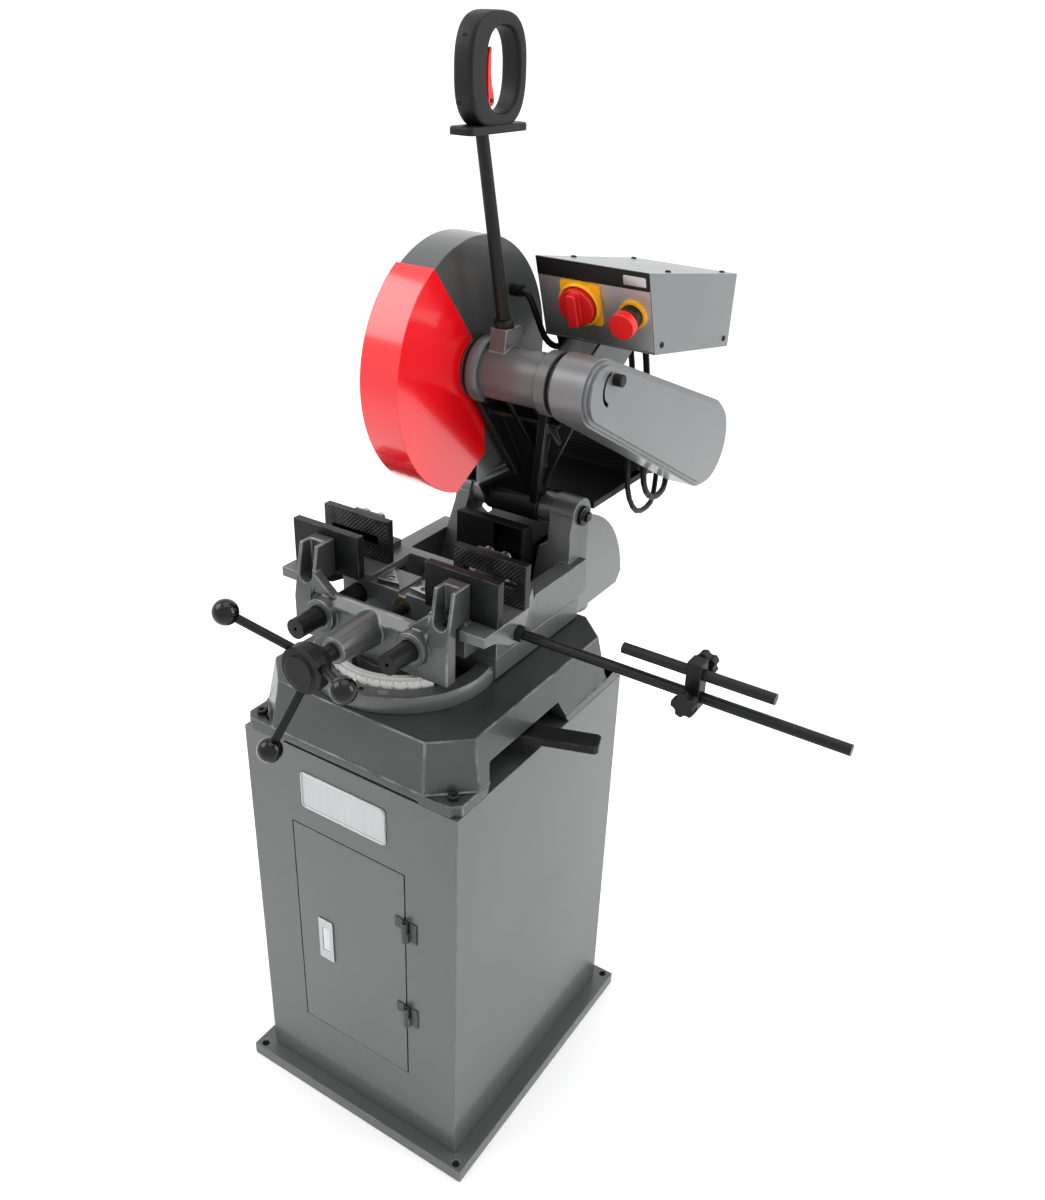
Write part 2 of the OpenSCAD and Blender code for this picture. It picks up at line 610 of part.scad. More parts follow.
// the lower knob points forward, the upper one back
module star_knob() color("#141414") {
  zrod(0, 14, 0, 0, 4);
  translate([0, 0, 13]) difference() {
    cylinder(h = 16, r = 18, $fn = 64);
    for (a = [0:72:359]) rotate([0, 0, a]) translate([21, 0, -1]) cylinder(h = 18, r = 7, $fn = 24);
  }
}
module clamp_knobs() color("#141414") up() {
  translate([clamp_x, stop_y - rod_r - 0.5, stop_z]) rotate([90, 0, 0]) star_knob();
  translate([clamp_x, stop_y + rod_r + 0.5, stop_z + 36]) rotate([-90, 0, 0]) star_knob();
}

module head_casting() color("#1b1c1c") difference() {
  union() {
    arm() {
      plan(-8, 8, [[-eye_x, 0], [-eye_x, 58], [0, arm_end], [36, arm_end], [38, arm_l], [178, arm_l],
        [178, 244], [80, 76], [eye_x, 56], [eye_x, 0]]);
      side(38, 50, [[arm_end - 10, -28], [arm_l, -44], [arm_l, 44], [arm_end - 10, 28]]);
      hull() {
        block(166, 178, arm_l - 1, arm_l, -42, 42);
        block(62, 74, 74, 78, -26, 26);
      }
      hull() {
        block(62, 74, 74, 78, -26, 26);
        block(42, eye_x, 27, 31, -20, 20);
      }
      hull() {
        block(38, 50, arm_end - 10, arm_end, -28, 28);
        block(-eye_x, 12 - eye_x, 46, 50, -26, 26);
      }
      block(-eye_x, 12 - eye_x, 0, 50, -26, 26);
      side(96, 103, [[arm_l - 200, -14], [arm_l, -38], [arm_l, 38], [arm_l - 200, 14]]);
      side(140, 147, [[arm_l - 130, -14], [arm_l, -38], [arm_l, 38], [arm_l - 130, 14]]);
      block(45, 172, arm_l - 66, arm_l - 58, -30, 30);
    }
    up() xrod(-eye_x, eye_x, pivot_y, pivot_z, eye_r);
    up() xrod(38, 60, hub_y, hub_z, tube_r + 8);
    up() xrod(160, 180, hub_y, hub_z, tube_r + 6);
  }
  up() xrod(-60, 60, pivot_y, pivot_z, pin_r + run);
  up() xrod(30, 190, hub_y, hub_z, tube_r);
  up() xrod(30, 50, hub_y, hub_z, tube_r + 6);
}

module spindle_housing() color("#6a6c6d") up() difference() {
  union() {
    xrod(grey_x + 3.4, 50, hub_y, hub_z, tube_r + 6);
    xrod(50, 180, hub_y, hub_z, tube_r);
    // boss that clamps the handle
    intersection() {
      side(66, 94, [[hub_y - 26, hub_z], [hub_y - 18, hub_z + 68], [hub_y + 22, hub_z + 68],
        [hub_y + 30, hub_z]]);
      block(66, 94, 0, 600, hub_z, hub_z + 80);
    }
  }
  xrod(grey_x, 181, hub_y, hub_z, seat_r);
  up_handle() cylinder(h = 60, r = 9, $fn = 64);
}

module spindle_bearings() color("#a9abac") up() for (x = [56, 150]) difference() {
  xrod(x, x + 22, hub_y, hub_z, seat_r);
  xrod(x - 1, x + 23, hub_y, hub_z, spindle_r + run);
}

module upper_guard() color("#8d8f90") up() {
  difference() {
    xrod(-grey_x, grey_x, hub_y, hub_z, grey_r);
    xrod(skin - grey_x, grey_x - skin, hub_y, hub_z, grey_r - 3);
    side(-grey_x - 1, grey_x + 1, concat([for (i = [0:12]) guard_at(52, 10 + 82 * i / 12)],
      [guard_at(red_r * 1.6, 92), guard_at(red_r * 2, 50), guard_at(red_r * 1.6, 10)]));
    xrod(0, grey_x + 1, hub_y, hub_z, seat_r);
  }
  difference() {
    xrod(grey_x - 1, grey_x + 3.4, hub_y, hub_z, boss_r);
    xrod(grey_x - 2, grey_x + 4, hub_y, hub_z, seat_r);
  }
  xrod(-grey_x - 3.4, 1 - grey_x, hub_y, hub_z, boss_r);
}

module guard_cap() color("#1c1d1d") up() {
  xrod(-grey_x - 8.4, -grey_x - 3.4, hub_y, hub_z, tube_r + 6);
  translate([-grey_x - 14, hub_y, hub_z]) rotate([0, 90, 0]) cylinder(h = 5.6, r = 11, $fn = 6);
}

module lower_guard() color("#c8102e") up() difference() {
  union() {
    difference() {
      intersection() {
        xrod(-grey_x - 3, grey_x + 3, hub_y, hub_z, red_r);
        side(-grey_x - 3, grey_x + 3, [guard_at(red_r * 1.6, -54), from_hub(-15, 47), from_hub(18, -57),
          from_hub(24, 50 - red_r), guard_at(red_r, 75), guard_at(red_r * 1.4, 75),
          from_hub(-2 * red_r, -red_r), from_hub(-2 * red_r, red_r)]);
      }
      xrod(-grey_x - 0.6, grey_x + 0.6, hub_y, hub_z, red_r - 2.4);
    }
    for (x = [-grey_x - 3, grey_x + 0.6]) xrod(x, x + 2.4, hub_y, hub_z, boss_r + 8);
  }
  xrod(-grey_x - 4, grey_x + 4, hub_y, hub_z, boss_r + run);
}

module spindle() color("#b4b6b7") up() {
  xrod(-25, wheel_t / 2, hub_y, hub_z, arbor_r);
  xrod(wheel_t / 2, cover_x - 13, hub_y, hub_z, spindle_r);
}

module cutting_wheel() color("#4b4a45") up() difference() {
  xrod(-wheel_t / 2, wheel_t / 2, hub_y, hub_z, wheel_d / 2);
  xrod(-5, 5, hub_y, hub_z, arbor_r);
}

module wheel_flanges() color("#9a9c9d") up() difference() {
  union() {
    xrod(wheel_t / 2, wheel_t / 2 + 10, hub_y, hub_z, 50);
    xrod(-wheel_t / 2 - 10, -wheel_t / 2, hub_y, hub_z, 50);
    translate([-23, hub_y, hub_z]) rotate([0, 90, 0]) cylinder(h = 12, r = arbor_r + 8, $fn = 6);
  }
  xrod(wheel_t / 2, 20, hub_y, hub_z, spindle_r);
  xrod(-30, wheel_t / 2 + 1, hub_y, hub_z, arbor_r);
}

module spindle_pulley() color("#8a8c8d") up() difference() {
  xrod(200, 234, hub_y, hub_z, pulley_a);
  xrod(199, 235, hub_y, hub_z, spindle_r);
}

module cover_shape(x0, x1, o) side(x0, x1, belt_line([hub_y, hub_z], front_r - o, [motor_y, motor_z], rear_r - o));

module belt_cover() color("#b9bcbd") up() difference() {
  union() {
    cover_shape(cover_x0, cover_x - 10, 0);
    cover_shape(cover_x - 10, cover_x - 5, 4);
    cover_shape(cover_x - 5, cover_x, 9);
    xrod(180, cover_x0 + 1, hub_y, hub_z, tube_r);
  }
  cover_shape(cover_x0 + cover_t, cover_x - 10 - cover_t, cover_t);
  cover_shape(cover_x0 + cover_t, cover_x - cover_t, 9 + cover_t);
  xrod(179, cover_x0 + 5, hub_y, hub_z, seat_r);
  xrod(cover_x0 - 1, cover_x0 + 5, motor_y, motor_z, 40);
  side(cover_x - 5, cover_x + 1, concat(arc(hub_y + 20, hub_z + 4, 27, 100, 250),
    arc(hub_y + 20, hub_z + 4, 21, 250, 100)));
  xrod(cover_x - 5, cover_x + 1, hub_y + 27, hub_z + 16, 4);
}

module cover_knob() color("#121212") up() {
  xrod(cover_x - 6, cover_x + 1, hub_y + 27, hub_z + 16, 4);
  xrod(cover_x, cover_x + 14, hub_y + 27, hub_z + 16, 9);
}

module motor_body() up() {
  xrod(-62, 150, motor_y, motor_z, motor_r);
  xrod(150, cover_x0, motor_y, motor_z, motor_r - 8);
  block(-40, 118, motor_y - 32, motor_y + 32, motor_z - motor_r - 2, motor_z - motor_r + 16);
}
module motor() color("#303233") difference() {
  union() {
    motor_body();
    up() block(105, 165, motor_y + 50, motor_y + 102, motor_z - 68, motor_z - 18);
  }
  up() xrod(cover_x0 - 50, cover_x0 + 1, motor_y, motor_z, 12 + run);
}

module motor_mount() color("#1a1b1b") up() difference() {
  union() {
    block(-62, 128, pivot_y + ear_r + 8, motor_y + 57, motor_z - motor_r - 15, motor_z - motor_r - 2);
    side(2 - eye_x, eye_x - 2, [[pivot_y, pivot_z - 24], [pivot_y + 55, pivot_z - 6],
      [pivot_y + 55, pivot_z + 11], [pivot_y, pivot_z + 24]]);
  }
  xrod(-60, 60, pivot_y, pivot_z, eye_r);
  for (x = [-20, 98]) plan(motor_z - 200, motor_z, rrect(x - 5, motor_y + 38, x + 5, motor_y + 52, 4.9));
}

module motor_pulley() color("#8a8c8d") up() {
  xrod(200, 234, motor_y, motor_z, pulley_b);
  xrod(cover_x0 - 50, 236, motor_y, motor_z, 12);
}

module drive_belt() color("#151515") up() difference() {
  side(204, 230, belt_line([hub_y, hub_z], pulley_a + 5.4, [motor_y, motor_z], pulley_b + 5.4));
  side(203, 231, belt_line([hub_y, hub_z], pulley_a + 0.4, [motor_y, motor_z], pulley_b + 0.4));
}

function box_line(o) = [[box_y - 41 + o, box_z + 123 - o], [box_y + 278 - o, box_z + 73 - o],
  [box_y + 273 - o, box_z - 44 + o], [box_y + o, box_z + o]];

module control_box() color("#c3c6c7") {
  difference() {
    up() side(box_x0, box_x1, box_line(0));
    intersection() {
      up() side(box_x0 + 2, box_x1 - 2, box_line(2.2));
      panel() block(0, 400, 4, 400, -200, 400);
    }
    panel() block(box_x0 + 2, box_x1 - 2, -20, 12, 3, 118);
  }
  // bracket down to the arm
  up() for (x = [100, 156]) difference() {
    side(x, x + 5, [[box_y - 62, box_z - 68], [box_y - 14, box_z - 148], [box_y + 170, box_z - 27.4],
      [box_y + 40, box_z - 6.4]]);
    hull() {
      xrod(x - 1, x + 6, hub_y, hub_z, tube_r + 3);
      xrod(x - 1, x + 6, pivot_y - 20, pivot_z + 33, 33);
    }
  }
}

module control_panel() color("#b7babb") difference() {
  face() block(box_x0 + 2.2, box_x1 - 2.2, 8, 10, 3.4, 117.6);
  face() yrod(0, 20, 155, 66, 5 + run);
  face() yrod(0, 20, 239, 61, 10 + run);
}

module switch_parts() {
  color("#e8c51c") face() difference() {
    front(5, 8, rrect(122, 33, 188, 99, 4));
    yrod(4, 9, 155, 66, 5 + run);
  }
  color("#e8c51c") face() difference() {
    yrod(3, 8, 239, 61, 22);
    yrod(2, 9, 239, 61, 17);
  }
  color("#141414") face() difference() {
    yrod(-10, 8, 239, 61, 17);
    yrod(-11, 9, 239, 61, 10 + run);
  }
}

module switch_knob() color("#c21d24") face() {
  yrod(-12, 4.7, 155, 66, 29);
  front(-24, -12, rrect(147, 40, 163, 92, 5));
  yrod(4.7, 14, 155, 66, 5);
}

module estop_cap() color("#c21d24") face() {
  yrod(-30, -16, 239, 61, 20);
  yrod(-16, 12, 239, 61, 10);
}

// the handle's tube leans forward from the spindle tube
module up_handle() translate([grip_x, hub_y + 3, hub_z + 46]) rotate([14, 0, 0]) children();

function grip_line() = [[30, 284], [34, 392], [50, 418], [80, 424], [120, 418], [148, 398], [158, 362],
  [159, 303], [120, 293]];

module handle() color("#1a1a1a") up() {
  difference() {
    up_handle() cylinder(h = 305, r = 9, $fn = 64);
    up_handle() translate([0, 0, -1]) cylinder(h = 302, r = 6.5, $fn = 64);
  }
  difference() {
    side(grip_x - 16, grip_x + 16, [for (p = grip_line()) [p.x, hub_z + p.y + 49]]);
    side(grip_x - 17, grip_x + 17, [[66, hub_z + 360], [66, hub_z + 432], [84, hub_z + 449],
      [118, hub_z + 445], [136, hub_z + 426], [140, hub_z + 398], [140, hub_z + 364], [120, hub_z + 356]]);
    up_handle() cylinder(h = 305, r = 9, $fn = 64);
  }
  difference() {
    for (x = [grip_x - 15, grip_x + 9]) side(x, x + 6, [[76, hub_z + 350], [96, hub_z + 350],
      [96, hub_z + 374], [76, hub_z + 374]]);
    side(0, 200, [[66, hub_z + 360 - 1], [120, hub_z + 355], [120, hub_z + 300], [66, hub_z + 300]]);
  }
  xrod(grip_x - 15, grip_x + 15, 86, hub_z + 369, 3);
}

module trigger() color("#c21d24") up() difference() {
  union() {
    side(grip_x - 8, grip_x + 8, [[79, hub_z + 369], [93, hub_z + 369], [88, hub_z + 424], [80, hub_z + 428],
      [77, hub_z + 420]]);
    xrod(grip_x - 8, grip_x + 8, 86, hub_z + 369, 7);
  }
  xrod(grip_x - 9, grip_x + 9, 86, hub_z + 369, 3 + run);
}

guard_wire = [[48, 238, 1416], [60, 239, 1410], [69, 246, 1384], [77, 262, 1346], [85, 280, 1330],
  [92, 290, 1333], [93, 292, 1345.5]];
motor_wire = [[160, 440, 1323], [165, 452, 1250], [168, 458, 1150], [168, 470, 1060], [164, 520, 1015],
  [152, 590, 1006], [140, 624, 1026], [138, 628, 1058]];
spare_wire = [[138, 430, 1324], [144, 440, 1250], [146, 446, 1150], [144, 456, 1050], [144, 500, 990],
  [134, 580, 978], [120, 622, 1010], [118, 628, 1058]];

module head_cables() color("#101010") up() translate([0, 0, table_z - 1000]) {
  tube(route(guard_wire, 3), 5);
  tube(route(motor_wire, 3), 5.5);
  tube(route(spare_wire, 3), 5);
  xrod(grey_x, 48, 238, 1416, 9);
}

floor_tray();
cabinet_shell();
cabinet_door();
hinge_leaves();
door_leaves();
latch_plate();
latch_paddle();
name_plate();
bed_casting();
bed_bolts();
degree_scale();
lock_lever();
turntable();
scale_pointer();
table_casting();
slot_blocks();
rear_jaws();
jaw_brackets();
bracket_bolts();
guide_bars();
vise_nut();
spark_box();
spark_hood();
pivot_pin();
pivot_caps();
stop_rail();
vise_casting();
front_jaws();
jaw_screws();
vise_screw();
handwheel_hub();
handwheel_spokes();
handwheel_balls();
stop_clamp();
stop_rod();
clamp_knobs();
head_casting();
spindle_housing();
spindle_bearings();
upper_guard();
guard_cap();
lower_guard();
spindle();
cutting_wheel();
wheel_flanges();
spindle_pulley();
belt_cover();
cover_knob();
motor();
motor_mount();
motor_pulley();
drive_belt();
control_box();
control_panel();
switch_parts();
switch_knob();
estop_cap();
handle();
trigger();
head_cables();
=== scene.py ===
"""A manual pull-down cut-off saw on its cabinet stand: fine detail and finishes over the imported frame."""
import json
import math
import bmesh
import bpy
import numpy as np
from mathutils import Matrix, Vector

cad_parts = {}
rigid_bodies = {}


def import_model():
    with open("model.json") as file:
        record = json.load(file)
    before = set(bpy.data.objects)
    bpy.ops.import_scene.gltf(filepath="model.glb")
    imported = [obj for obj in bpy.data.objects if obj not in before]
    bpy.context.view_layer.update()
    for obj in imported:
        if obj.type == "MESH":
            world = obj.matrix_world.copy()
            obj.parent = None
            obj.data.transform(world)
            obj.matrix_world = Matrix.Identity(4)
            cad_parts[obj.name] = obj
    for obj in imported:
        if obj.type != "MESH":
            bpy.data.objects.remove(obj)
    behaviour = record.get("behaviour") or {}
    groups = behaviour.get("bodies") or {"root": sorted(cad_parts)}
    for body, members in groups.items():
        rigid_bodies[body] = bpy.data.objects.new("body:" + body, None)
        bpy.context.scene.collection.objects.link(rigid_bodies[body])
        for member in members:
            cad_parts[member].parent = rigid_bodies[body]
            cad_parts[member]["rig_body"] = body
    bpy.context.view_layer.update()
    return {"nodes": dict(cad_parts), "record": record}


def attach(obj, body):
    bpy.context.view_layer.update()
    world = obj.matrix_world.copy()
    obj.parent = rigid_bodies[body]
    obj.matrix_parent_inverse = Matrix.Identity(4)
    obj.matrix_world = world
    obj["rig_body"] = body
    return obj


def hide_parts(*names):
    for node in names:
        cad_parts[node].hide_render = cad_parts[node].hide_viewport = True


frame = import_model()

scene = bpy.context.scene
TAU = 2 * math.pi

# ---------------------------------------------------------------- camera

AZ, EL, ROLL = math.radians(31.73), math.radians(28.20), math.radians(2.269)
ahead = Vector((-math.sin(AZ) * math.cos(EL), math.cos(AZ) * math.cos(EL), -math.sin(EL)))
right = ahead.cross(Vector((0, 0, 1))).normalized()
above = right.cross(ahead)
right_r = math.cos(ROLL) * right + math.sin(ROLL) * above
above_r = -math.sin(ROLL) * right + math.cos(ROLL) * above
lens = bpy.data.cameras.new("saw_camera")
lens.lens, lens.sensor_width, lens.clip_end = 33.25, 36.0, 60.0
camera = bpy.data.objects.new("saw_camera", lens)
scene.collection.objects.link(camera)
turn = Matrix((right_r, above_r, -ahead)).transposed().to_4x4()
camera.matrix_world = Matrix.Translation((0.9358, -1.2651, 1.7955)) @ turn
scene.camera = camera

# ---------------------------------------------------------------- shader groups


def new_group(name, inputs, outputs):
    """An empty shader node group with its named sockets, and its two end nodes."""
    tree = bpy.data.node_groups.new(name, "ShaderNodeTree")
    for label, kind, value in inputs:
        socket = tree.interface.new_socket(label, in_out="INPUT", socket_type=kind)
        if value is not None:
            socket.default_value = value
    for label, kind in outputs:
        tree.interface.new_socket(label, in_out="OUTPUT", socket_type=kind)
    return tree, tree.nodes.new("NodeGroupInput"), tree.nodes.new("NodeGroupOutput")


def put(tree, kind, links=(), **values):
    """A node of one kind with its properties and plain values set, and its inputs linked by name or index."""
    node = tree.nodes.new(kind)
    for key, value in values.items():
        if hasattr(node, key):
            setattr(node, key, value)
    for key, value in values.items():
        if not hasattr(node, key):
            node.inputs[key.replace("_", " ")].default_value = value
    for target, source in links:
        tree.links.new(source, node.inputs[target])
    return node


COLOUR, VALUE, VECTOR = "NodeSocketColor", "NodeSocketFloat", "NodeSocketVector"


def paint_skin_group():
    """Sprayed or cast skin: broad patches shift the colour and gloss, and fine grain gives the height."""
    tree, a, b = new_group("paint_skin", [("Vector", VECTOR, None), ("Colour", COLOUR, (0.2, 0.2, 0.2, 1)),
        ("Patch Colour", COLOUR, (0.15, 0.15, 0.15, 1)), ("Patch Scale", VALUE, 6.0), ("Grain Scale", VALUE, 500.0),
        ("Roughness", VALUE, 0.4), ("Gloss Shift", VALUE, 0.12)],
        [("Colour", COLOUR), ("Roughness", VALUE), ("Height", VALUE)])
    patch = put(tree, "ShaderNodeTexNoise", [("Vector", a.outputs["Vector"]), ("Scale", a.outputs["Patch Scale"])],
                Detail=4.0, Roughness=0.55)
    grain = put(tree, "ShaderNodeTexNoise", [("Vector", a.outputs["Vector"]), ("Scale", a.outputs["Grain Scale"])],
                Detail=3.0, Roughness=0.6)
    spread = put(tree, "ShaderNodeMapRange", [("Value", patch.outputs[0])], From_Min=0.3, From_Max=0.7)
    mix = put(tree, "ShaderNodeMix", [(0, spread.outputs[0]), (6, a.outputs["Colour"]), (7, a.outputs["Patch Colour"])],
              data_type="RGBA")
    centred = put(tree, "ShaderNodeMath", [(0, patch.outputs[0])], operation="SUBTRACT")
    centred.inputs[1].default_value = 0.5
    rough = put(tree, "ShaderNodeMath", [(0, centred.outputs[0]), (1, a.outputs["Gloss Shift"]),
        (2, a.outputs["Roughness"])], operation="MULTIPLY_ADD")
    tree.links.new(mix.outputs[2], b.inputs["Colour"])
    tree.links.new(rough.outputs[0], b.inputs["Roughness"])
    tree.links.new(grain.outputs[0], b.inputs["Height"])
    return tree


def edge_rub_and_tip_highlight_group():
    """Rubbed edges, and painted highlight on knurl tips: the `edge` attribute broken up by noise uncovers a lighter
    colour.
    """
    tree, a, b = new_group("edge_rub_and_tip_highlight", [("Vector", VECTOR, None), ("Colour", COLOUR, (0.2, 0.2, 0.2, 1)),
        ("Bare Colour", COLOUR, (0.5, 0.5, 0.5, 1)), ("Amount", VALUE, 0.4)], [("Colour", COLOUR), ("Mask", VALUE)])
    edge = put(tree, "ShaderNodeAttribute", attribute_name="edge")
    noise = put(tree, "ShaderNodeTexNoise", [("Vector", a.outputs["Vector"])], Scale=28.0, Detail=6.0)
    broken = put(tree, "ShaderNodeMapRange", [("Value", noise.outputs[0])], From_Min=0.42, From_Max=0.62)
    one = put(tree, "ShaderNodeMath", [(0, edge.outputs["Fac"]), (1, broken.outputs[0])], operation="MULTIPLY")
    two = put(tree, "ShaderNodeMath", [(0, one.outputs[0]), (1, a.outputs["Amount"])], operation="MULTIPLY")
    mix = put(tree, "ShaderNodeMix", [(0, two.outputs[0]), (6, a.outputs["Colour"]), (7, a.outputs["Bare Colour"])],
              data_type="RGBA")
    tree.links.new(mix.outputs[2], b.inputs["Colour"])
    tree.links.new(two.outputs[0], b.inputs["Mask"])
    return tree


def tool_marks_group():
    """Ground or brushed metal: noise squeezed across one direction gives streaks in colour, gloss and height."""
    tree, a, b = new_group("tool_marks", [("Vector", VECTOR, None), ("Squeeze", VECTOR, (8.0, 600.0, 600.0)),
        ("Colour", COLOUR, (0.6, 0.6, 0.6, 1)), ("Dark Colour", COLOUR, (0.4, 0.4, 0.4, 1)),
        ("Roughness", VALUE, 0.3)], [("Colour", COLOUR), ("Roughness", VALUE), ("Height", VALUE)])
    squeezed = put(tree, "ShaderNodeVectorMath", [(0, a.outputs["Vector"]), (1, a.outputs["Squeeze"])],
                   operation="MULTIPLY")
    streak = put(tree, "ShaderNodeTexNoise", [("Vector", squeezed.outputs[0])], Scale=1.0, Detail=3.0)
    mix = put(tree, "ShaderNodeMix", [(0, streak.outputs[0]), (6, a.outputs["Colour"]), (7, a.outputs["Dark Colour"])],
              data_type="RGBA")
    centred = put(tree, "ShaderNodeMath", [(0, streak.outputs[0])], operation="SUBTRACT")
    centred.inputs[1].default_value = 0.5
    rough = put(tree, "ShaderNodeMath", [(0, centred.outputs[0]), (2, a.outputs["Roughness"])],
                operation="MULTIPLY_ADD")
    rough.inputs[1].default_value = 0.2
    tree.links.new(mix.outputs[2], b.inputs["Colour"])
    tree.links.new(rough.outputs[0], b.inputs["Roughness"])
    tree.links.new(streak.outputs[0], b.inputs["Height"])
    return tree


PAINT_SKIN, EDGE_RUB_AND_TIP_HIGHLIGHT, TOOL_MARKS = paint_skin_group(), edge_rub_and_tip_highlight_group(), tool_marks_group()


def rgba(colour):
    return (*colour, 1.0)


def start_material(name, **sockets):
    """A material with one Principled shader; plain numbers go straight onto its sockets."""
    material = bpy.data.materials.new(name)
    material.use_nodes = True
    tree = material.node_tree
    shader = tree.nodes["Principled BSDF"]
    for key, value in sockets.items():
        shader.inputs[key.replace("_", " ")].default_value = value
    place = tree.nodes.new("ShaderNodeTexCoord").outputs["Object"]
    return material, tree, shader, place


def use_group(tree, group, **links_or_values):
    node = tree.nodes.new("ShaderNodeGroup")
    node.node_tree = group
    for key, value in links_or_values.items():
        socket = node.inputs[key.replace("_", " ")]
        if isinstance(value, bpy.types.NodeSocket):
            tree.links.new(value, socket)
        else:
            socket.default_value = value
    return node


def raise_height(tree, shader, height, strength, distance):
    bump = put(tree, "ShaderNodeBump", [("Height", height)], Strength=strength, Distance=distance)
    tree.links.new(bump.outputs[0], shader.inputs["Normal"])


def painted(name, colour, rough=0.4, patch=0.85, patch_scale=6.0, grain=520.0, grain_height=0.15, metal=0.0,
            coat=0.0, rub=0.35, bare_and_highlight=(0.42, 0.43, 0.43), gloss_shift=0.12, distance=0.0006, shine=0.5):
    """Paint over metal or a moulded skin: paint_skin, then rubbed edges (painted highlight on knurl tips), with the
    grain as bump.
    """
    material, tree, shader, place = start_material(name, Metallic=metal, Coat_Weight=coat, Coat_Roughness=0.12,
                                                   Specular_IOR_Level=shine)
    skin = use_group(tree, PAINT_SKIN, Vector=place, Colour=rgba(colour),
        Patch_Colour=rgba([c * patch for c in colour]), Patch_Scale=patch_scale, Grain_Scale=grain,
        Roughness=rough, Gloss_Shift=gloss_shift)
    rubbed = use_group(tree, EDGE_RUB_AND_TIP_HIGHLIGHT, Vector=place, Colour=skin.outputs["Colour"], Bare_Colour=rgba(bare_and_highlight),
        Amount=rub)
    tree.links.new(rubbed.outputs["Colour"], shader.inputs["Base Color"])
    tree.links.new(skin.outputs["Roughness"], shader.inputs["Roughness"])
    raise_height(tree, shader, skin.outputs["Height"], grain_height, distance)
    return material


def metal(name, colour, rough=0.3, dark=0.7, squeeze=(8.0, 600.0, 600.0), height=0.08, rub=0.3):
    """Bare worked metal: tool_marks, with rubbed edges a little brighter."""
    material, tree, shader, place = start_material(name, Metallic=1.0)
    marks = use_group(tree, TOOL_MARKS, Vector=place, Squeeze=squeeze, Colour=rgba(colour),
        Dark_Colour=rgba([c * dark for c in colour]), Roughness=rough)
    rubbed = use_group(tree, EDGE_RUB_AND_TIP_HIGHLIGHT, Vector=place, Colour=marks.outputs["Colour"],
        Bare_Colour=rgba([min(1.0, c * 1.4) for c in colour]), Amount=rub)
    tree.links.new(rubbed.outputs["Colour"], shader.inputs["Base Color"])
    tree.links.new(marks.outputs["Roughness"], shader.inputs["Roughness"])
    raise_height(tree, shader, marks.outputs["Height"], height, 0.0003)
    return material


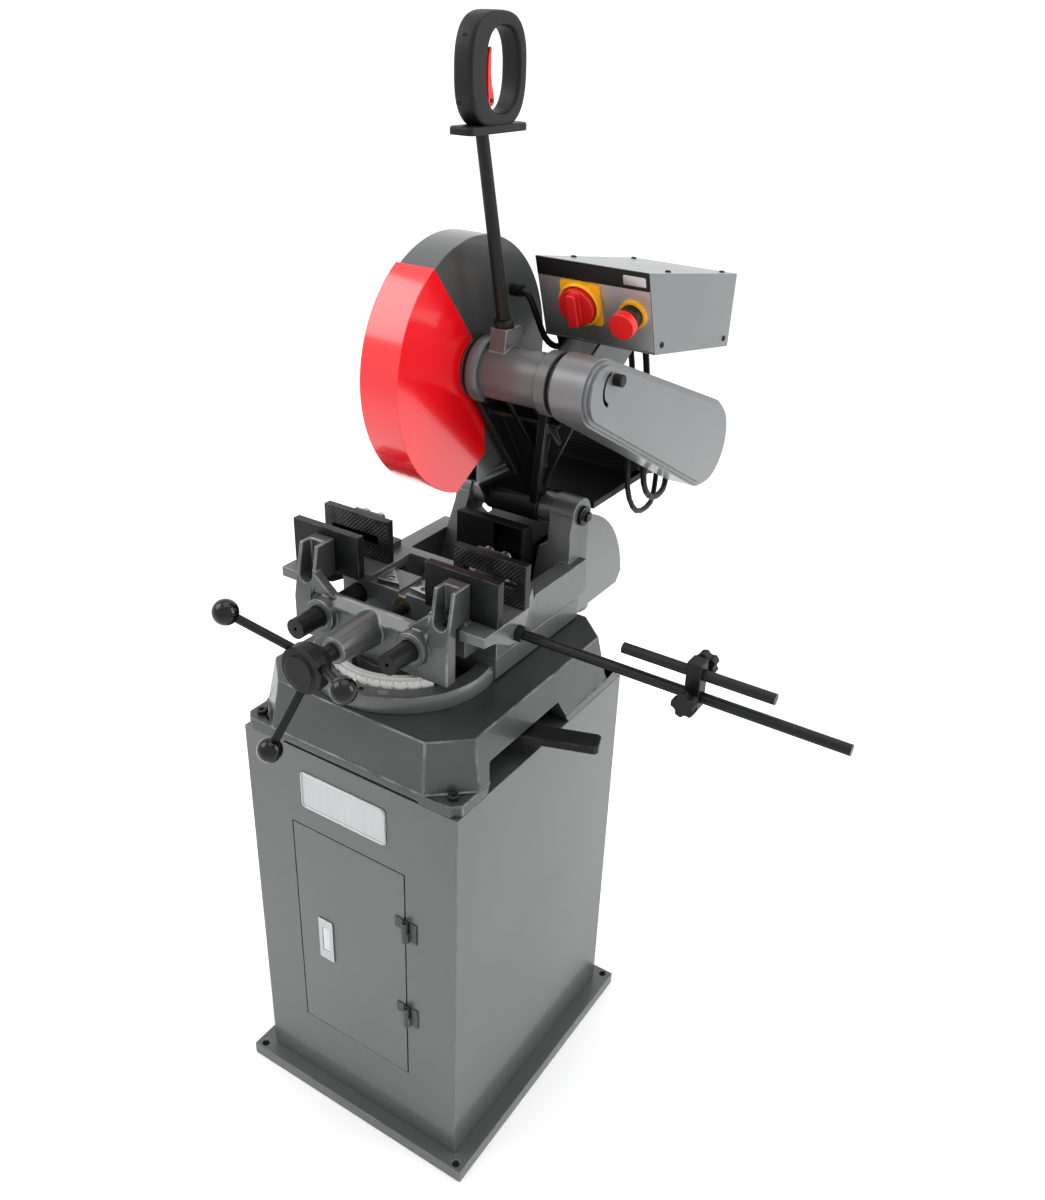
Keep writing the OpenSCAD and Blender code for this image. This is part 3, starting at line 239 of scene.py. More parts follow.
FINISH = {
    "cabinet_paint": painted("cabinet_grey", (0.1, 0.103, 0.103), 0.36, 0.9, 3.0, 900, 0.10, 0.25, 0.35, 0.15),
    "door_paint": painted("door_grey", (0.108, 0.111, 0.111), 0.36, 0.9, 3.5, 900, 0.10, 0.25, 0.35, 0.15),
    "bed_paint": painted("bed_grey", (0.062, 0.064, 0.065), 0.38, 0.75, 7.0, 420, 0.35, 0.25, 0.3, 0.25),
    "cast_paint": painted("casting_grey", (0.13, 0.133, 0.134), 0.4, 0.75, 9.0, 380, 0.45, 0.3, 0.25, 0.35),
    "vise_paint": painted("vise_grey", (0.1, 0.102, 0.103), 0.38, 0.75, 9.0, 380, 0.45, 0.3, 0.3, 0.35),
    "hood_paint": painted("hood_grey", (0.14, 0.143, 0.145), 0.36, 0.85, 6.0, 500, 0.2, 0.2, 0.3, 0.25),
    "guard_grey": painted("guard_grey", (0.1, 0.103, 0.104), 0.32, 0.85, 5.0, 600, 0.12, 0.3, 0.4, 0.25),
    "cover_paint": painted("cover_grey", (0.17, 0.173, 0.176), 0.38, 0.92, 5.0, 800, 0.12, 0.3, 0.3, 0.2),
    "red_paint": painted("guard_red", (0.72, 0.004, 0.012), 0.24, 0.9, 4.0, 700, 0.05, 0.0, 0.9, 0.0,
        gloss_shift=0.06),
    "black_paint": painted("head_black", (0.012, 0.0123, 0.0127), 0.42, 0.7, 9.0, 380, 0.45, 0.0, 0.08, 0.25,
        bare_and_highlight=(0.1, 0.1, 0.1), shine=0.2),
    "motor_paint": painted("motor_black", (0.022, 0.023, 0.024), 0.42, 0.75, 8.0, 420, 0.3, 0.0, 0.1, 0.25,
        bare_and_highlight=(0.1, 0.1, 0.1), shine=0.3),
    "black_plastic": painted("moulded_black", (0.012, 0.012, 0.0125), 0.46, 0.85, 14.0, 1400, 0.35, 0.0, 0.0, 0.15,
        bare_and_highlight=(0.04, 0.04, 0.04), distance=0.0003, shine=0.3),
    "ball_plastic": painted("polished_black", (0.004, 0.004, 0.004), 0.1, 0.9, 9.0, 600, 0.02, 0.0, 0.25, 0.0,
        gloss_shift=0.05, shine=0.3),
    "red_plastic": painted("moulded_red", (0.62, 0.012, 0.012), 0.34, 0.9, 16.0, 900, 0.1, 0.0, 0.2, 0.2,
        bare_and_highlight=(0.75, 0.12, 0.1)),
    "yellow_plastic": painted("moulded_yellow", (0.86, 0.42, 0.008), 0.36, 0.93, 16.0, 900, 0.1, 0.0, 0.2, 0.2,
        bare_and_highlight=(0.9, 0.55, 0.1)),
    "white_plate": painted("white_enamel", (0.78, 0.78, 0.76), 0.35, 0.95, 12.0, 900, 0.05, 0.0, 0.3, 0.2),
    "cable_rubber": painted("cable_black", (0.01, 0.01, 0.01), 0.5, 0.8, 20.0, 900, 0.2, 0.0, 0.0, 0.0, shine=0.3),
    "belt_rubber": painted("belt_black", (0.012, 0.012, 0.012), 0.65, 0.8, 30.0, 900, 0.4, 0.0, 0.0, 0.0),
    "abrasive": painted("wheel_grit", (0.035, 0.031, 0.027), 0.85, 0.6, 60.0, 1800, 0.9, 0.0, 0.0, 0.0),
    "black_steel": painted("blackened_steel", (0.02, 0.0205, 0.021), 0.36, 0.75, 18.0, 900, 0.2, 0.3, 0.0, 0.6,
        bare_and_highlight=(0.16, 0.16, 0.16), shine=0.3),
    "bracket_steel": painted("bracket_iron", (0.075, 0.077, 0.078), 0.45, 0.7, 14.0, 450, 0.4, 0.4, 0.0, 0.4),
    "steel": metal("turned_steel", (0.55, 0.56, 0.57), 0.3),
    "plate_steel": metal("plate_steel", (0.5, 0.51, 0.515), 0.45, 0.85, (600.0, 600.0, 10.0), 0.05),
    "latch_steel": metal("latch_steel", (0.62, 0.63, 0.64), 0.28, 0.8, (600.0, 600.0, 10.0), 0.05),
    "block_steel": metal("ground_steel", (0.4, 0.4, 0.41), 0.34, 0.7, (500.0, 20.0, 500.0), 0.1),
    "panel_steel": metal("brushed_panel", (0.62, 0.625, 0.63), 0.5, 0.82, (9.0, 900.0, 900.0), 0.08),
    "bronze": metal("nut_bronze", (0.6, 0.42, 0.18), 0.35),
    # painted highlight: rub 1.0 turns the knurl tips light grey, standing in for glints on the black facets
    "knurled": painted("knurled_black_tip_highlight", (0.012, 0.012, 0.0125), 0.4, 0.8, 18.0, 900, 0.1, 0.2, 0.0, 1.0,
        bare_and_highlight=(0.34, 0.34, 0.34)),
    "bearing_steel": metal("bearing_steel", (0.6, 0.61, 0.62), 0.2),
}
SLOT_OF = {part["node"]: part["material_slot"] for part in frame["record"]["subparts"]}
for node, thing in frame["nodes"].items():
    thing.data.materials.clear()
    thing.data.materials.append(FINISH[SLOT_OF[node]])

# ---------------------------------------------------------------- mesh building


def saw(x, y, z):
    """Points in millimetres measured from the cut line, as metres in the row frame."""
    x, y, z = np.broadcast_arrays(np.asarray(x, float), np.asarray(y, float), np.asarray(z, float))
    return np.stack([(x - 18.0) / 1000, (y - 73.5) / 1000, z / 1000], -1)


# the saw's main places, in millimetres from the cut line and the floor
PIVOT_Y, PIVOT_Z, ARM_LENGTH, ARM_RISE = 325, 1038, 333, math.radians(57.3)
HUB_Y = PIVOT_Y - ARM_LENGTH * math.cos(ARM_RISE)
HUB_Z = PIVOT_Z + ARM_LENGTH * math.sin(ARM_RISE)
MOTOR_Y, MOTOR_Z = 553, 1127
FIXED_JAW_Y, MOVING_JAW_Y = 42.5, -15.5
BAR_Z, BAR_APART = 962, 87.5
HANDLE_X = 80
PANEL_TILT = math.radians(18.43)


def on_panel(x, out, z):
    """Panel millimetres (across, out of the face, up the face) as metres: the face leans by the tilt."""
    x, out, z = np.broadcast_arrays(np.asarray(x, float), np.asarray(out, float), np.asarray(z, float))
    y = 0.6 - out
    return saw(x, HUB_Y + 108 + y * math.cos(PANEL_TILT) - z * math.sin(PANEL_TILT),
               HUB_Z + 36.5 + y * math.sin(PANEL_TILT) + z * math.cos(PANEL_TILT))


def quads(rows, cols, round_rows=False, round_cols=False):
    """Corner numbers of every cell of a rows x cols grid of points, as one array."""
    i, j = np.meshgrid(np.arange(rows - (not round_rows)), np.arange(cols - (not round_cols)), indexing="ij")
    i, j = i.ravel(), j.ravel()
    k, l = (i + 1) % rows, (j + 1) % cols
    return np.stack([i * cols + j, k * cols + j, k * cols + l, i * cols + l], 1)


def gather(parts):
    """One list of points and faces from several, each numbered after the one before."""
    points, faces, at = [], [], 0
    for verts, cells in parts:
        points.append(np.asarray(verts, float).reshape(-1, 3))
        faces += [tuple(int(n) + at for n in cell) for cell in cells]
        at += len(points[-1])
    return np.concatenate(points), faces


def finish_mesh(name, mesh, body, slot, finish=None):
    """Link a finished mesh, make it ride on its body and give it its material: the finish passed in, else its slot's.
    """
    thing = bpy.data.objects.new(name, mesh)
    scene.collection.objects.link(thing)
    mesh.materials.clear()
    mesh.materials.append(finish or FINISH[slot])
    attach(thing, body)
    return thing


def shade(bm, crease):
    """Smooth faces with sharp edges wherever two faces turn by more than the crease angle."""
    for face in bm.faces:
        face.smooth = True
    for edge in bm.edges:
        edge.smooth = len(edge.link_faces) == 2 and edge.calc_face_angle(0.0) < math.radians(crease)


def piece(name, parts, body, slot, crease=40, finish=None, outward=True):
    """A new piece from lists of points and faces, merged, turned outwards and shaded."""
    points, faces = gather(parts)
    mesh = bpy.data.meshes.new(name)
    mesh.from_pydata(points.tolist(), [], faces)
    bm = bmesh.new()
    bm.from_mesh(mesh)
    bmesh.ops.remove_doubles(bm, verts=bm.verts, dist=1e-6)
    if outward:
        bmesh.ops.recalc_face_normals(bm, faces=bm.faces)
    shade(bm, crease)
    bm.to_mesh(mesh)
    bm.free()
    return finish_mesh(name, mesh, body, slot, finish)


def soften(node, width, segments, clamp=False, crease=32):
    """A copy of one CAD node with its corners rounded by `width` millimetres, standing in for it.

    The loose triangles are merged and the flat ones joined, each edge sharper than the crease is
    rounded, and the rounded faces carry the attribute `edge` for the rub marks."""
    source = frame["nodes"][node]
    bm = bmesh.new()
    bm.from_mesh(source.data)
    bmesh.ops.remove_doubles(bm, verts=bm.verts, dist=5e-6)
    bmesh.ops.dissolve_limit(bm, angle_limit=math.radians(0.15), verts=bm.verts, edges=bm.edges)
    sharp = [e for e in bm.edges if len(e.link_faces) == 2 and e.calc_face_angle(0.0) > math.radians(crease)]
    layer = bm.loops.layers.float.new("edge")
    made = bmesh.ops.bevel(bm, geom=sharp, offset=width / 1000, offset_type="OFFSET", segments=segments,
                           profile=0.5, affect="EDGES", clamp_overlap=clamp, miter_outer="ARC")
    for face in made["faces"]:
        for loop in face.loops:
            loop[layer] = 1.0
    bmesh.ops.triangulate(bm, faces=[f for f in bm.faces if len(f.verts) > 4])
    shade(bm, 48)
    mesh = bpy.data.meshes.new(node + "_round")
    bm.to_mesh(mesh)
    bm.free()
    thing = finish_mesh(node + "_round", mesh, source["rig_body"], SLOT_OF[node])
    weighted = thing.modifiers.new("even_faces", "WEIGHTED_NORMAL")
    weighted.keep_sharp = True
    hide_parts(node)
    return thing


def frame_along(axis):
    """Two unit directions square to an axis."""
    axis = np.asarray(axis, float)
    axis = axis / np.linalg.norm(axis)
    side = np.cross(axis, [0.31, 0.17, 1.0] if abs(axis[2]) < 0.9 else [1.0, 0.2, 0.1])
    side /= np.linalg.norm(side)
    return axis, side, np.cross(axis, side)


def turned(centre, axis, profile, around=48):
    """Surface of revolution: each (along, radius) pair in millimetres is swept round the axis
    through `centre` (metres): p = centre + axis*along + radius*(side*cos a + up*sin a)."""
    axis, side, up = frame_along(axis)
    along, radius = np.array(profile, float).T / 1000
    a = np.arange(around) * TAU / around
    ring = side[None] * np.cos(a)[:, None] + up[None] * np.sin(a)[:, None]
    points = np.asarray(centre)[None, None] + axis * along[:, None, None] + ring[None] * radius[:, None, None]
    return points.reshape(-1, 3), quads(len(along), around, round_cols=True)


def rounded_outline(x0, y0, x1, y1, r, n=6):
    """Corner arcs of a rounded rectangle, anticlockwise."""
    a = np.linspace(0, math.pi / 2, n)
    corner = [(x1 - r, y1 - r, 0), (x0 + r, y1 - r, 1), (x0 + r, y0 + r, 2), (x1 - r, y0 + r, 3)]
    return np.concatenate([np.stack([cx + r * np.cos(a + k * math.pi / 2), cy + r * np.sin(a + k * math.pi / 2)], 1)
                           for cx, cy, k in corner])


def plate(place, outline, low, high, edge=0.6, steps=4):
    """A flat plate with a rounded rim: the outline is carried from `low` up to `high`, drawn in by
    edge*(1-cos b) while it rises by edge*sin b, and closed at both ends. `place` maps (u, height, v)."""
    outline = np.asarray(outline, float)
    before, after = np.roll(outline, 1, 0), np.roll(outline, -1, 0)
    tangent = after - before
    inward = np.stack([-tangent[:, 1], tangent[:, 0]], 1)
    inward /= np.maximum(np.linalg.norm(inward, axis=1)[:, None], 1e-9)
    b = np.linspace(0, math.pi / 2, steps)
    draw = np.concatenate([[0.0], edge * (1 - np.cos(b))])
    height = np.concatenate([[low], high - edge + edge * np.sin(b)])
    ring = outline[None] + inward[None] * draw[:, None, None]
    points = place(ring[..., 0], height[:, None] + 0 * ring[..., 0], ring[..., 1])
    n = len(outline)
    cells = [tuple(c) for c in quads(len(draw), n, round_cols=True)]
    cells.append(tuple(range(n - 1, -1, -1)))
    cells.append(tuple(range(n * (len(draw) - 1), n * len(draw))))
    return points.reshape(-1, 3), cells


def box_cells(place, lows, highs):
    """Many small blocks at once: eight corners and six faces each, from arrays of low and high corners."""
    lows, highs = np.asarray(lows, float), np.asarray(highs, float)
    pick = np.array([[i >> 2 & 1, i >> 1 & 1, i & 1] for i in range(8)])
    corners = np.where(pick[None] == 1, highs[:, None], lows[:, None])
    face = np.array([[0, 1, 3, 2], [4, 6, 7, 5], [0, 4, 5, 1], [2, 3, 7, 6], [0, 2, 6, 4], [1, 5, 7, 3]])
    cells = (np.arange(len(lows))[:, None, None] * 8 + face[None]).reshape(-1, 4)
    return place(corners[..., 0], corners[..., 1], corners[..., 2]).reshape(-1, 3), cells


def carried(path, radius, around=12):
    """A round tube along points in metres: rings square to the path, each laid out from one fixed direction, and a flat
    end on each."""
    path = np.asarray(path, float)
    tangent = np.gradient(path, axis=0)
    tangent /= np.linalg.norm(tangent, axis=1)[:, None]
    side = np.cross(tangent, [1.0, 0.31, 0.17])
    side /= np.linalg.norm(side, axis=1)[:, None]
    up = np.cross(tangent, side)
    a = np.arange(around) * TAU / around
    radius = np.broadcast_to(np.asarray(radius, float), (len(path),)) / 1000
    points = path[:, None] + radius[:, None, None] * (side[:, None] * np.cos(a)[None, :, None]
                                                     + up[:, None] * np.sin(a)[None, :, None])
    cells = [tuple(c) for c in quads(len(path), around, round_cols=True)]
    cells += [tuple(range(around)), tuple(range(around * len(path) - 1, around * (len(path) - 1) - 1, -1))]
    return points.reshape(-1, 3), cells


def dome_screw(centre, axis, r, h):
    """A pan-head screw: a turned dome with a hexagon-like socket ring sunk in its top."""
    b = np.linspace(0, 1, 7)
    dome = [(h * math.sin(t * math.pi / 2), r * (1 - 0.45 * t * t)) for t in b]
    socket = [(h, r * 0.3), (h * 0.35, r * 0.27), (h * 0.35, 0.0)]
    return turned(centre, axis, [(-0.5, 0.0), (-0.5, r)] + dome + socket, 24)


def hex_head(centre, axis, across, h):
    """A chamfered hexagon head: radius across/2/cos of the angle from the nearest flat, less at the rims."""
    axis, side, up = frame_along(axis)
    a = np.arange(48) * TAU / 48
    flat = across / 2 / np.cos((a + math.pi / 6) % (math.pi / 3) - math.pi / 6)
    levels = [(0.0, 0.0), (0.0, 0.97), (0.08, 1.0), (0.82, 1.0), (1.0, 0.9), (1.0, 0.0)]
    points = []
    for level, scale in levels:
        radius = np.minimum(flat * scale, across / 2 * (1.12 if scale == 1.0 else 1.02)) / 1000 if scale else flat * 0
        points.append(np.asarray(centre) + axis * h * level / 1000
                      + radius[:, None] * (side * np.cos(a)[:, None] + up * np.sin(a)[:, None]))
    return np.concatenate(points), quads(len(levels), 48, round_cols=True)


# ---------------------------------------------------------------- rounded castings and sheet metal
# how wide each rounded corner is, in millimetres, and in how many steps it turns

ROUNDED = {
    "floor_tray": (1.5, 2), "cabinet_shell": (1.2, 2), "cabinet_door": (0.9, 2), "latch_plate": (0.7, 2),
    "latch_paddle": (0.5, 2), "name_plate": (0.7, 2), "bed_casting": (2.5, 3), "bed_bolts": (0.6, 2),
    "lock_lever": (2.0, 3), "turntable": (1.2, 2), "table_casting": (1.5, 2), "slot_blocks": (0.6, 2),
    "rear_jaws": (0.8, 2), "front_jaws": (0.8, 2), "jaw_brackets": (1.5, 2), "bracket_bolts": (2.2, 3),
    "spark_box": (0.8, 2), "spark_hood": (0.8, 2), "pivot_caps": (1.0, 2), "vise_casting": (2.5, 3),
    "jaw_screws": (0.8, 2), "handwheel_hub": (1.2, 2), "stop_clamp": (1.2, 2), "clamp_knobs": (1.6, 3),
    "head_casting": (2.0, 2), "spindle_housing": (1.5, 2), "upper_guard": (0.9, 2), "guard_cap": (0.8, 2),
    "lower_guard": (0.9, 2), "belt_cover": (0.9, 2), "cover_knob": (1.4, 3), "motor_mount": (1.2, 2),
    "control_box": (0.8, 2), "control_panel": (0.4, 2), "switch_knob": (1.6, 3), "estop_cap": (1.4, 3),
    "hinge_leaves": (0.5, 2), "door_leaves": (0.5, 2),
}
for node, (width, segments) in ROUNDED.items():
    soften(node, width, segments, clamp=node == "belt_cover")

# ---------------------------------------------------------------- jaws, scale and ring


def wave(t):
    """Triangle wave: 0 at whole numbers, 1 half way between."""
    return 1 - np.abs(2 * (t - np.floor(t)) - 1)


KNURL_DEPTH = 1.3


def knurled(x0, x1, z0, z1, y, outwards, hole=None, pitch=7.2, step=0.9):
    """Diamond knurl: height = KNURL_DEPTH * min(wave((x+z)/p), wave((x-z)/p)), let down to nothing round
    the rim and the slot, on a grid in x and z that stands off the plane y."""
    xs = np.linspace(x0, x1, int(abs(x1 - x0) / step) + 1)
    zs = np.linspace(z0, z1, int((z1 - z0) / step) + 1)
    x, z = np.meshgrid(xs, zs, indexing="ij")
    rim = np.minimum.reduce([np.abs(x - x0), np.abs(x - x1), z - z0, z1 - z])
    if hole:
        away = np.maximum(np.abs(x - hole[0]) - hole[2], np.abs(z - hole[1]) - hole[3])
        rim = np.minimum(rim, away)
    height = KNURL_DEPTH * np.minimum(wave((x + z) / pitch), wave((x - z) / pitch)) * np.clip(rim / 1.0, 0, 1)
    points = saw(x, y + outwards * (height - 0.08), z)
    cells = quads(len(xs), len(zs))
    if hole:
        keep = (away.ravel()[cells] > -0.1).all(1)
        cells = cells[keep]
    return points.reshape(-1, 3), cells


def paint_knurl_tip_highlight(thing, root, outwards):
    """Painted highlight on the knurl: the attribute `edge` grows with the square of how far each point stands off the
    jaw.
    """
    points = np.empty(len(thing.data.vertices) * 3)
    thing.data.vertices.foreach_get("co", points)
    stand = (points.reshape(-1, 3)[:, 1] - saw(0, root, 0)[1]) * 1000 * outwards / KNURL_DEPTH
    thing.data.attributes.new("edge", "FLOAT", "POINT").data.foreach_set("value", np.clip(stand, 0, 1) ** 2)


fixed_knurl = piece("fixed_jaw_knurl", [knurled(65, 194, 1001, 1072, FIXED_JAW_Y, -1, (131, 1037, 47.2, 6.2)),
                          knurled(-194, -65, 1001, 1072, FIXED_JAW_Y, -1, (-131, 1037, 47.2, 6.2))],
      "table", "black_steel", crease=25, finish=FINISH["knurled"], outward=False)
moving_knurl = piece("moving_jaw_knurl", [knurled(65, 194, 1001.5, 1072, MOVING_JAW_Y, 1),
                                         knurled(-194, -65, 1001.5, 1072, MOVING_JAW_Y, 1)],
      "vise", "black_steel", crease=25, finish=FINISH["knurled"], outward=False)
# painted highlight on the knurl tips
paint_knurl_tip_highlight(fixed_knurl, FIXED_JAW_Y, -1)
paint_knurl_tip_highlight(moving_knurl, MOVING_JAW_Y, 1)


BAND_RADIUS, BAND_FOOT_Z, BAND_HEIGHT = 118, 862, 42
RING_RADIUS, RING_TOP_Z = 133, 888


def on_scale(side, out, up):
    """Round the fixed band: millimetres along the arc from its middle, off its face, above the bed."""
    a = np.asarray(side, float) / BAND_RADIUS
    r = BAND_RADIUS + np.asarray(out, float)
    return saw(r * np.sin(a), -r * np.cos(a), BAND_FOOT_Z + np.asarray(up, float))


degree = np.arange(-58, 59)
long_tick = np.where(degree % 10 == 0, 11.0, np.where(degree % 5 == 0, 8.0, 5.0))
along = np.radians(degree) * BAND_RADIUS
ticks = box_cells(on_scale, np.stack([along - 0.28, 0 * along - 0.05, BAND_HEIGHT - long_tick], 1),
                  np.stack([along + 0.28, 0 * along + 0.12, 0 * along + BAND_HEIGHT], 1))
# the seven bars of a digit as (from u, from v, to u, to v) in steps of its width and half-height
BARS = {"a": (0, 2, 1, 2), "b": (1, 1, 1, 2), "c": (1, 0, 1, 1), "d": (0, 0, 1, 0), "e": (0, 0, 0, 1),
        "f": (0, 1, 0, 2), "g": (0, 1, 1, 1)}
DIGITS = {"0": "abcdef", "1": "bc", "2": "abged", "3": "abgcd", "4": "fgbc", "5": "afgcd"}
low, high = [], []
for tens in range(-5, 6):
    text = str(abs(tens) * 10)
    for place_in, digit in enumerate(text):
        x = math.radians(tens * 10) * BAND_RADIUS + (place_in - len(text) / 2) * 3.6 + 0.5
        for bar in DIGITS[digit]:
            u0, v0, u1, v1 = BARS[bar]
            low.append((x + 2.4 * u0 - 0.25, -0.05, 21 + 3 * v0 - 0.25))
            high.append((x + 2.4 * u1 + 0.25, 0.12, 21 + 3 * v1 + 0.25))
piece("scale_ticks", [ticks, box_cells(on_scale, low, high)], "stand", "black_paint")


def on_ring(a, r, z):
    """Round the swivel: degrees from straight ahead, radius and height."""
    return saw(r * math.sin(math.radians(a)), -r * math.cos(math.radians(a)), z)


piece("ring_set_screw", [dome_screw(on_ring(9, RING_RADIUS, RING_TOP_Z - 0.2), (0, 0, 1), 4.5, 2.0)],
      "table", "black_steel")
INDEX_TURN = math.radians(24)


def on_index(u, h, v):
    """On top of the ring where the index sits: across, up and outwards."""
    sine, cosine = math.sin(INDEX_TURN), math.cos(INDEX_TURN)
    return saw(RING_RADIUS * sine + u * cosine + v * sine, -RING_RADIUS * cosine + u * sine - v * cosine,
               RING_TOP_Z + h)


piece("ring_index", [plate(on_index, rounded_outline(-8, -4.5, 8, 4.5, 1.0), -0.5, 1.4, 0.4)],
      "table", "block_steel")

# ---------------------------------------------------------------- control box and badge

piece("panel_band", [plate(on_panel, rounded_outline(84.6, 101, 269.4, 129.2, 1.5), -0.5, 1.6, 0.5)],
      "head", "black_plastic")
piece("band_badge", [plate(on_panel, rounded_outline(228, 107, 264, 122, 2.0), 1.0, 2.6, 0.6)],
      "head", "panel_steel")
out_of_panel = (0, -math.cos(PANEL_TILT), -math.sin(PANEL_TILT))
piece("estop_collar", [turned(on_panel(239, 0, 61), out_of_panel, [(4, 10.8), (4, 17.7), (17, 17.7), (18.4, 16.6),
      (18.4, 10.8), (4, 10.8)])], "head", "black_plastic")
piece("switch_rim", [turned(on_panel(155, 0, 66), out_of_panel, [(2, 30), (2, 35), (8, 34.6), (11, 33.6), (12.4, 32.2),
      (12, 30.4), (2, 30)], 64)], "head", "yellow_plastic")
piece("box_screws", [dome_screw(saw(x, y, z), (1 if x > 200 else -1, 0, 0), 4.6, 2.6)
                     for x in (84, 270) for y, z in ((272, 1366), (505, 1328))],
      "head", "black_steel")
# the lid falls from its front edge to its back edge, and its screws stand square to it
LID_FRONT_Y, LID_FRONT_Z, LID_LENGTH, LID_FALL = 212.1, 1477.7, 319, 50
lid_normal = (0, LID_FALL, LID_LENGTH)
piece("lid_screws", [dome_screw(saw(x, y, LID_FRONT_Z - LID_FALL * (y - LID_FRONT_Y) / LID_LENGTH),
                                lid_normal, 4.6, 2.6)
                     for x in (98, 256) for y in (300, 500)], "head", "black_steel")
gland = [(-6, 0), (-6, 11), (5, 11), (6, 10), (16, 8), (19, 6.2), (19, 0)]
piece("cable_glands", [turned(saw(x, y, z), (0, lean_back, -1), gland, 24)
                       for x, y, z, lean_back in
                       ((93, 292, 1347.5, 0), (160, 440, 1323.5, 0.1), (138, 430, 1325, 0.1))],
      "head", "black_plastic")
# a bead round the blank name plate, set in the row frame because the cabinet isn't centred on the cut line
rim = rounded_outline(-91.5, 652.5, 75.5, 717.5, 6.5)
bead = np.stack([rim[:, 0] / 1000, np.full(len(rim), -0.2482), rim[:, 1] / 1000], 1)
bead = np.concatenate([bead, bead[:2]])
piece("badge_rim", [carried(bead, 1.6, 8)], "stand", "plate_steel", crease=60)

# ---------------------------------------------------------------- motor and head hardware


def round_motor(a, r, x):
    """Round the motor's axis: angle from straight up, radius and place along it."""
    return saw(x, MOTOR_Y + r * np.sin(a), MOTOR_Z + r * np.cos(a))


fin = np.radians(np.arange(-138, 139, 6.0))
piece("motor_fins", [box_cells(round_motor, np.stack([fin - 0.013, 0 * fin + 74.5, 0 * fin - 42], 1),
                               np.stack([fin + 0.013, 0 * fin + 80.5, 0 * fin + 128], 1))], "head", "motor_paint")
cowl = [(-60, 0), (-66, 0), (-66, 30), (-65, 34), (-65, 58), (-66, 62), (-65.5, 71), (-61, 77.5), (-44, 77.5),
        (-43.4, 76), (-43.4, 60), (-60, 60), (-60, 0)]
piece("fan_cover", [turned(saw(0, MOTOR_Y, MOTOR_Z), (1, 0, 0), cowl, 72)], "head", "motor_paint")
vent = np.radians(np.arange(0, 360, 15.0))
piece("fan_vents", [box_cells(round_motor, np.stack([vent - 0.045, 0 * vent + 36, 0 * vent - 66.2], 1),
                              np.stack([vent + 0.045, 0 * vent + 56, 0 * vent - 64.9], 1))], "head", "black_plastic")
piece("mount_bolts", [part for x in (-20, 98) for part in (
      hex_head(saw(x, 598, 1038.5 - 15), (0, 0, -1), 15, 7), hex_head(saw(x, 598, 1049), (0, 0, 1), 15, 6))],
      "head", "steel")
piece("bar_collars", [turned(saw(x, -98.2, BAR_Z), (0, -1, 0), [(-1, 17), (-1, 24), (0.8, 24), (1.6, 23.2), (1.6, 17.5),
      (0.5, 16.8), (-1, 17)], 48) for x in (-BAR_APART, BAR_APART)], "vise", "vise_paint")



def arc_sleeve(profile, start, end, n=64):
    """A grey sleeve over a clamp ring: the closed (x, radius) profile is swept from `start` to `end`
    degrees round the spindle, counted from straight up towards the back, and closed at both ends."""
    x, r = np.array(profile, float).T
    a = np.radians(np.linspace(start, end, n))[:, None]
    points = saw(x + 0 * a, HUB_Y + r * np.sin(a), HUB_Z + r * np.cos(a))
    m = len(x)
    cells = [tuple(c) for c in quads(n, m, round_cols=True)]
    cells += [tuple(range(m)), tuple(range(n * m - 1, (n - 1) * m - 1, -1))]
    return points.reshape(-1, 3), cells


guard_side = [(43, 41.2), (43, 48.4), (44, 49.5), (58.5, 49.5), (61.5, 47), (61.5, 41.2)]
cover_side = [(158.5, 41.2), (158.5, 46), (160, 47.5), (176.6, 47.5), (177.4, 46.8), (177.4, 41.2)]
piece("housing_sleeves", [arc_sleeve(profile, -150, 90) for profile in (guard_side, cover_side)],
      "head", "cast_paint")

# ---------------------------------------------------------------- handle

lean = math.radians(14)
foot = saw(HANDLE_X, HUB_Y + 3, HUB_Z + 46)
axis_up = np.array([0, -math.sin(lean), math.cos(lean)])
shank = [foot + axis_up * t / 1000 for t in np.linspace(0, 304, 14)]


def grip_loop(around=96, across=36):
    """The hand loop: centre line and half-width lie between an outer and an inner superellipse in
    the y-z plane; the section is a superellipse, as thick across as the loop is deep."""
    a = np.arange(around) * TAU / around
    power = lambda t, n: np.sign(t) * np.abs(t) ** (2 / n)
    outer = np.stack([94.5 + 63 * power(np.cos(a), 3.0), 404 + 68 * power(np.sin(a), 2.6)], 1)
    inner = np.stack([104 + 37 * power(np.cos(a), 2.6), 404 + 50 * power(np.sin(a), 2.4)], 1)
    middle, half = (outer + inner) / 2, (outer - inner) / 2
    b = np.arange(across) * TAU / across
    u, v = power(np.cos(b), 5.0), power(np.sin(b), 5.0)
    flat = middle[:, None] + half[:, None] * u[None, :, None]
    return saw(HANDLE_X + 15.5 * v[None] + 0 * flat[..., 0], flat[..., 0], HUB_Z + flat[..., 1]).reshape(-1, 3), \
        quads(around, across, True, True)


grip_foot = plate(lambda u, h, v: saw(HANDLE_X + u, v, HUB_Z + h), rounded_outline(-19, 27, 19, 160, 9), 331, 341, 3)
grip = piece("hand_grip", [carried(shank, np.linspace(10, 8.5, 14), 24), grip_loop(), grip_foot], "head",
             "black_plastic", crease=50)
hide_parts("handle")
piece("grip_screws", [dome_screw(saw(x, y, HUB_Z + z), (0, -1, 0), 3.4, 0.8)
                      for x, y, z in ((72, 35.6, 368), (88, 35.6, 368), (HANDLE_X, 37.2, 443))],
      "head", "black_plastic")
piece("handle_nut", [hex_head(foot + axis_up * 0.021, axis_up, 27, 15)], "head", "black_steel")
lobe = [(86 + 7 * math.cos(t), 369 + 7 * math.sin(t)) for t in np.radians(np.arange(150, 381, 10))]
lever = lobe + [(90.5, 378), (86.8, 388), (84.6, 402), (84.4, 420), (85.4, 428), (83.6, 430.5), (81, 429), (78.4, 420),
                (77.4, 405), (78, 385)]
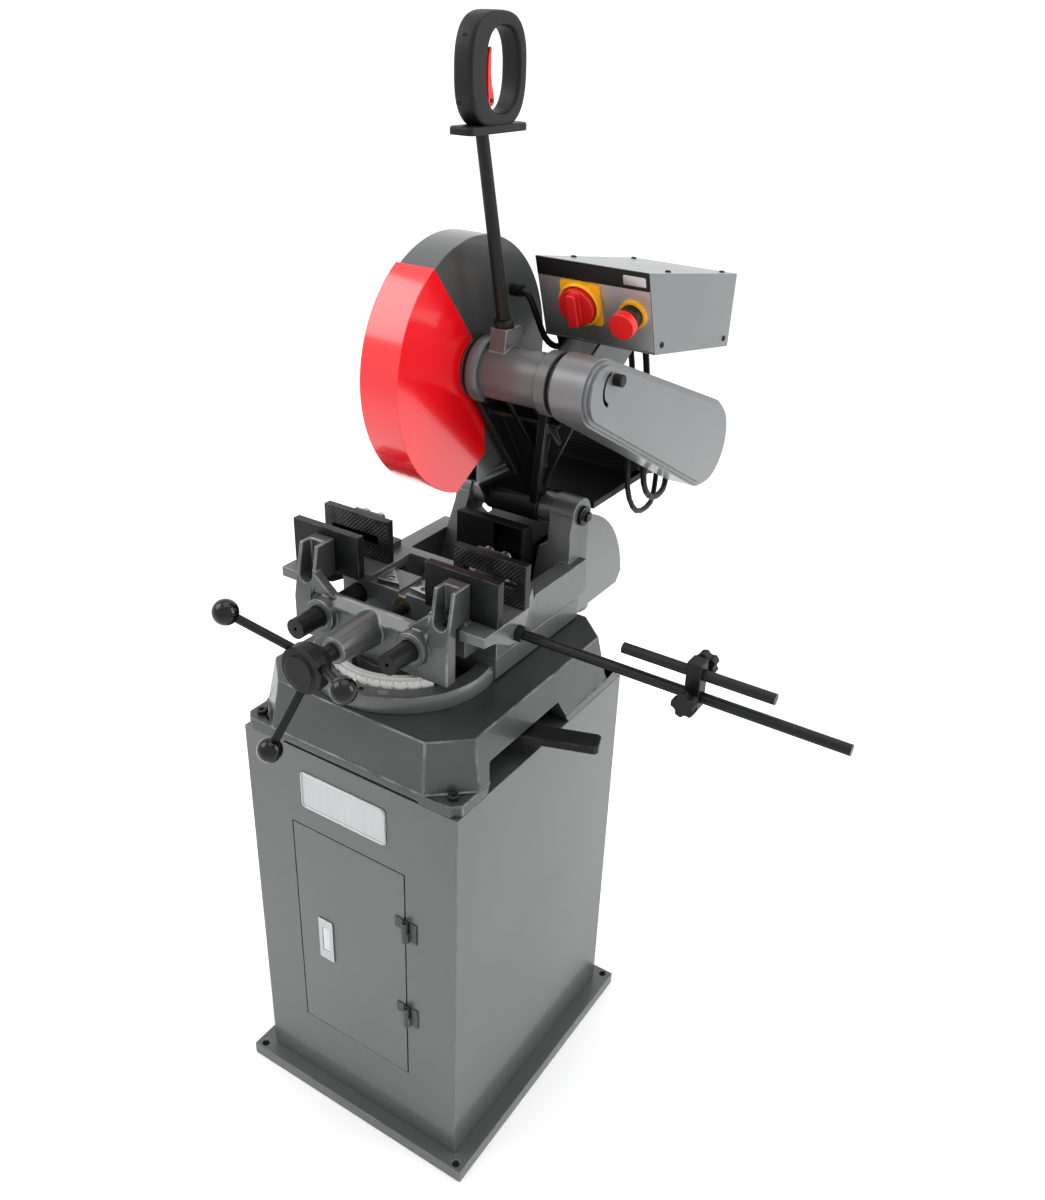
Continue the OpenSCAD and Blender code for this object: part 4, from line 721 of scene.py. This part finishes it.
trigger = piece("trigger_lever", [plate(lambda u, h, v: saw(HANDLE_X + h, u, HUB_Z + v), lever, -8, 8, 1.2)],
                "trigger", "red_plastic")
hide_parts("trigger")
piece("trigger_pin", [dome_screw(saw(HANDLE_X + 8, 86, HUB_Z + 369), (1, 0, 0), 2.8, 1.0)], "trigger", "black_steel")

# ---------------------------------------------------------------- floor and light

disc = bpy.data.meshes.new("floor")
ring = np.arange(96) * TAU / 96
disc.from_pydata(np.stack([16 * np.cos(ring), 16 * np.sin(ring), 0 * ring], 1).tolist(), [], [tuple(range(96))])
floor = bpy.data.objects.new("floor", disc)
scene.collection.objects.link(floor)
floor_paper, tree, shader, place = start_material("floor_paper", Roughness=0.7)
paper = put(tree, "ShaderNodeTexNoise", [("Vector", place)], Scale=1.5, Detail=2.0)
tint = put(tree, "ShaderNodeMix", [(0, paper.outputs[0])], data_type="RGBA")
tint.inputs[6].default_value, tint.inputs[7].default_value = (0.93, 0.93, 0.93, 1), (0.95, 0.95, 0.95, 1)
tree.links.new(tint.outputs[2], shader.inputs["Base Color"])
disc.materials.append(floor_paper)

world = bpy.data.worlds.new("studio")
world.use_nodes = True
world.node_tree.nodes["Background"].inputs[0].default_value = (1, 1, 1, 1)
world.node_tree.nodes["Background"].inputs[1].default_value = 1.0
scene.world = world
scene.view_settings.view_transform = "Standard"
scene.view_settings.look = "Medium High Contrast"


def soft_light(name, place, target, size, power):
    lamp = bpy.data.lights.new(name, "AREA")
    lamp.shape, lamp.size, lamp.size_y, lamp.energy = "RECTANGLE", size[0], size[1], power
    thing = bpy.data.objects.new(name, lamp)
    thing.location = place
    thing.rotation_euler = (Vector(target) - Vector(place)).to_track_quat("-Z", "Y").to_euler()
    scene.collection.objects.link(thing)


soft_light("key_light", (-2.2, -1.6, 3.4), (0, 0, 0.9), (2.2, 2.2), 42)
soft_light("side_light", (3.2, 1.4, 2.2), (0, 0, 0.9), (1.6, 2.6), 40)
soft_light("top_light", (0.2, 0.4, 4.2), (0, 0, 0.9), (2.6, 2.6), 25)
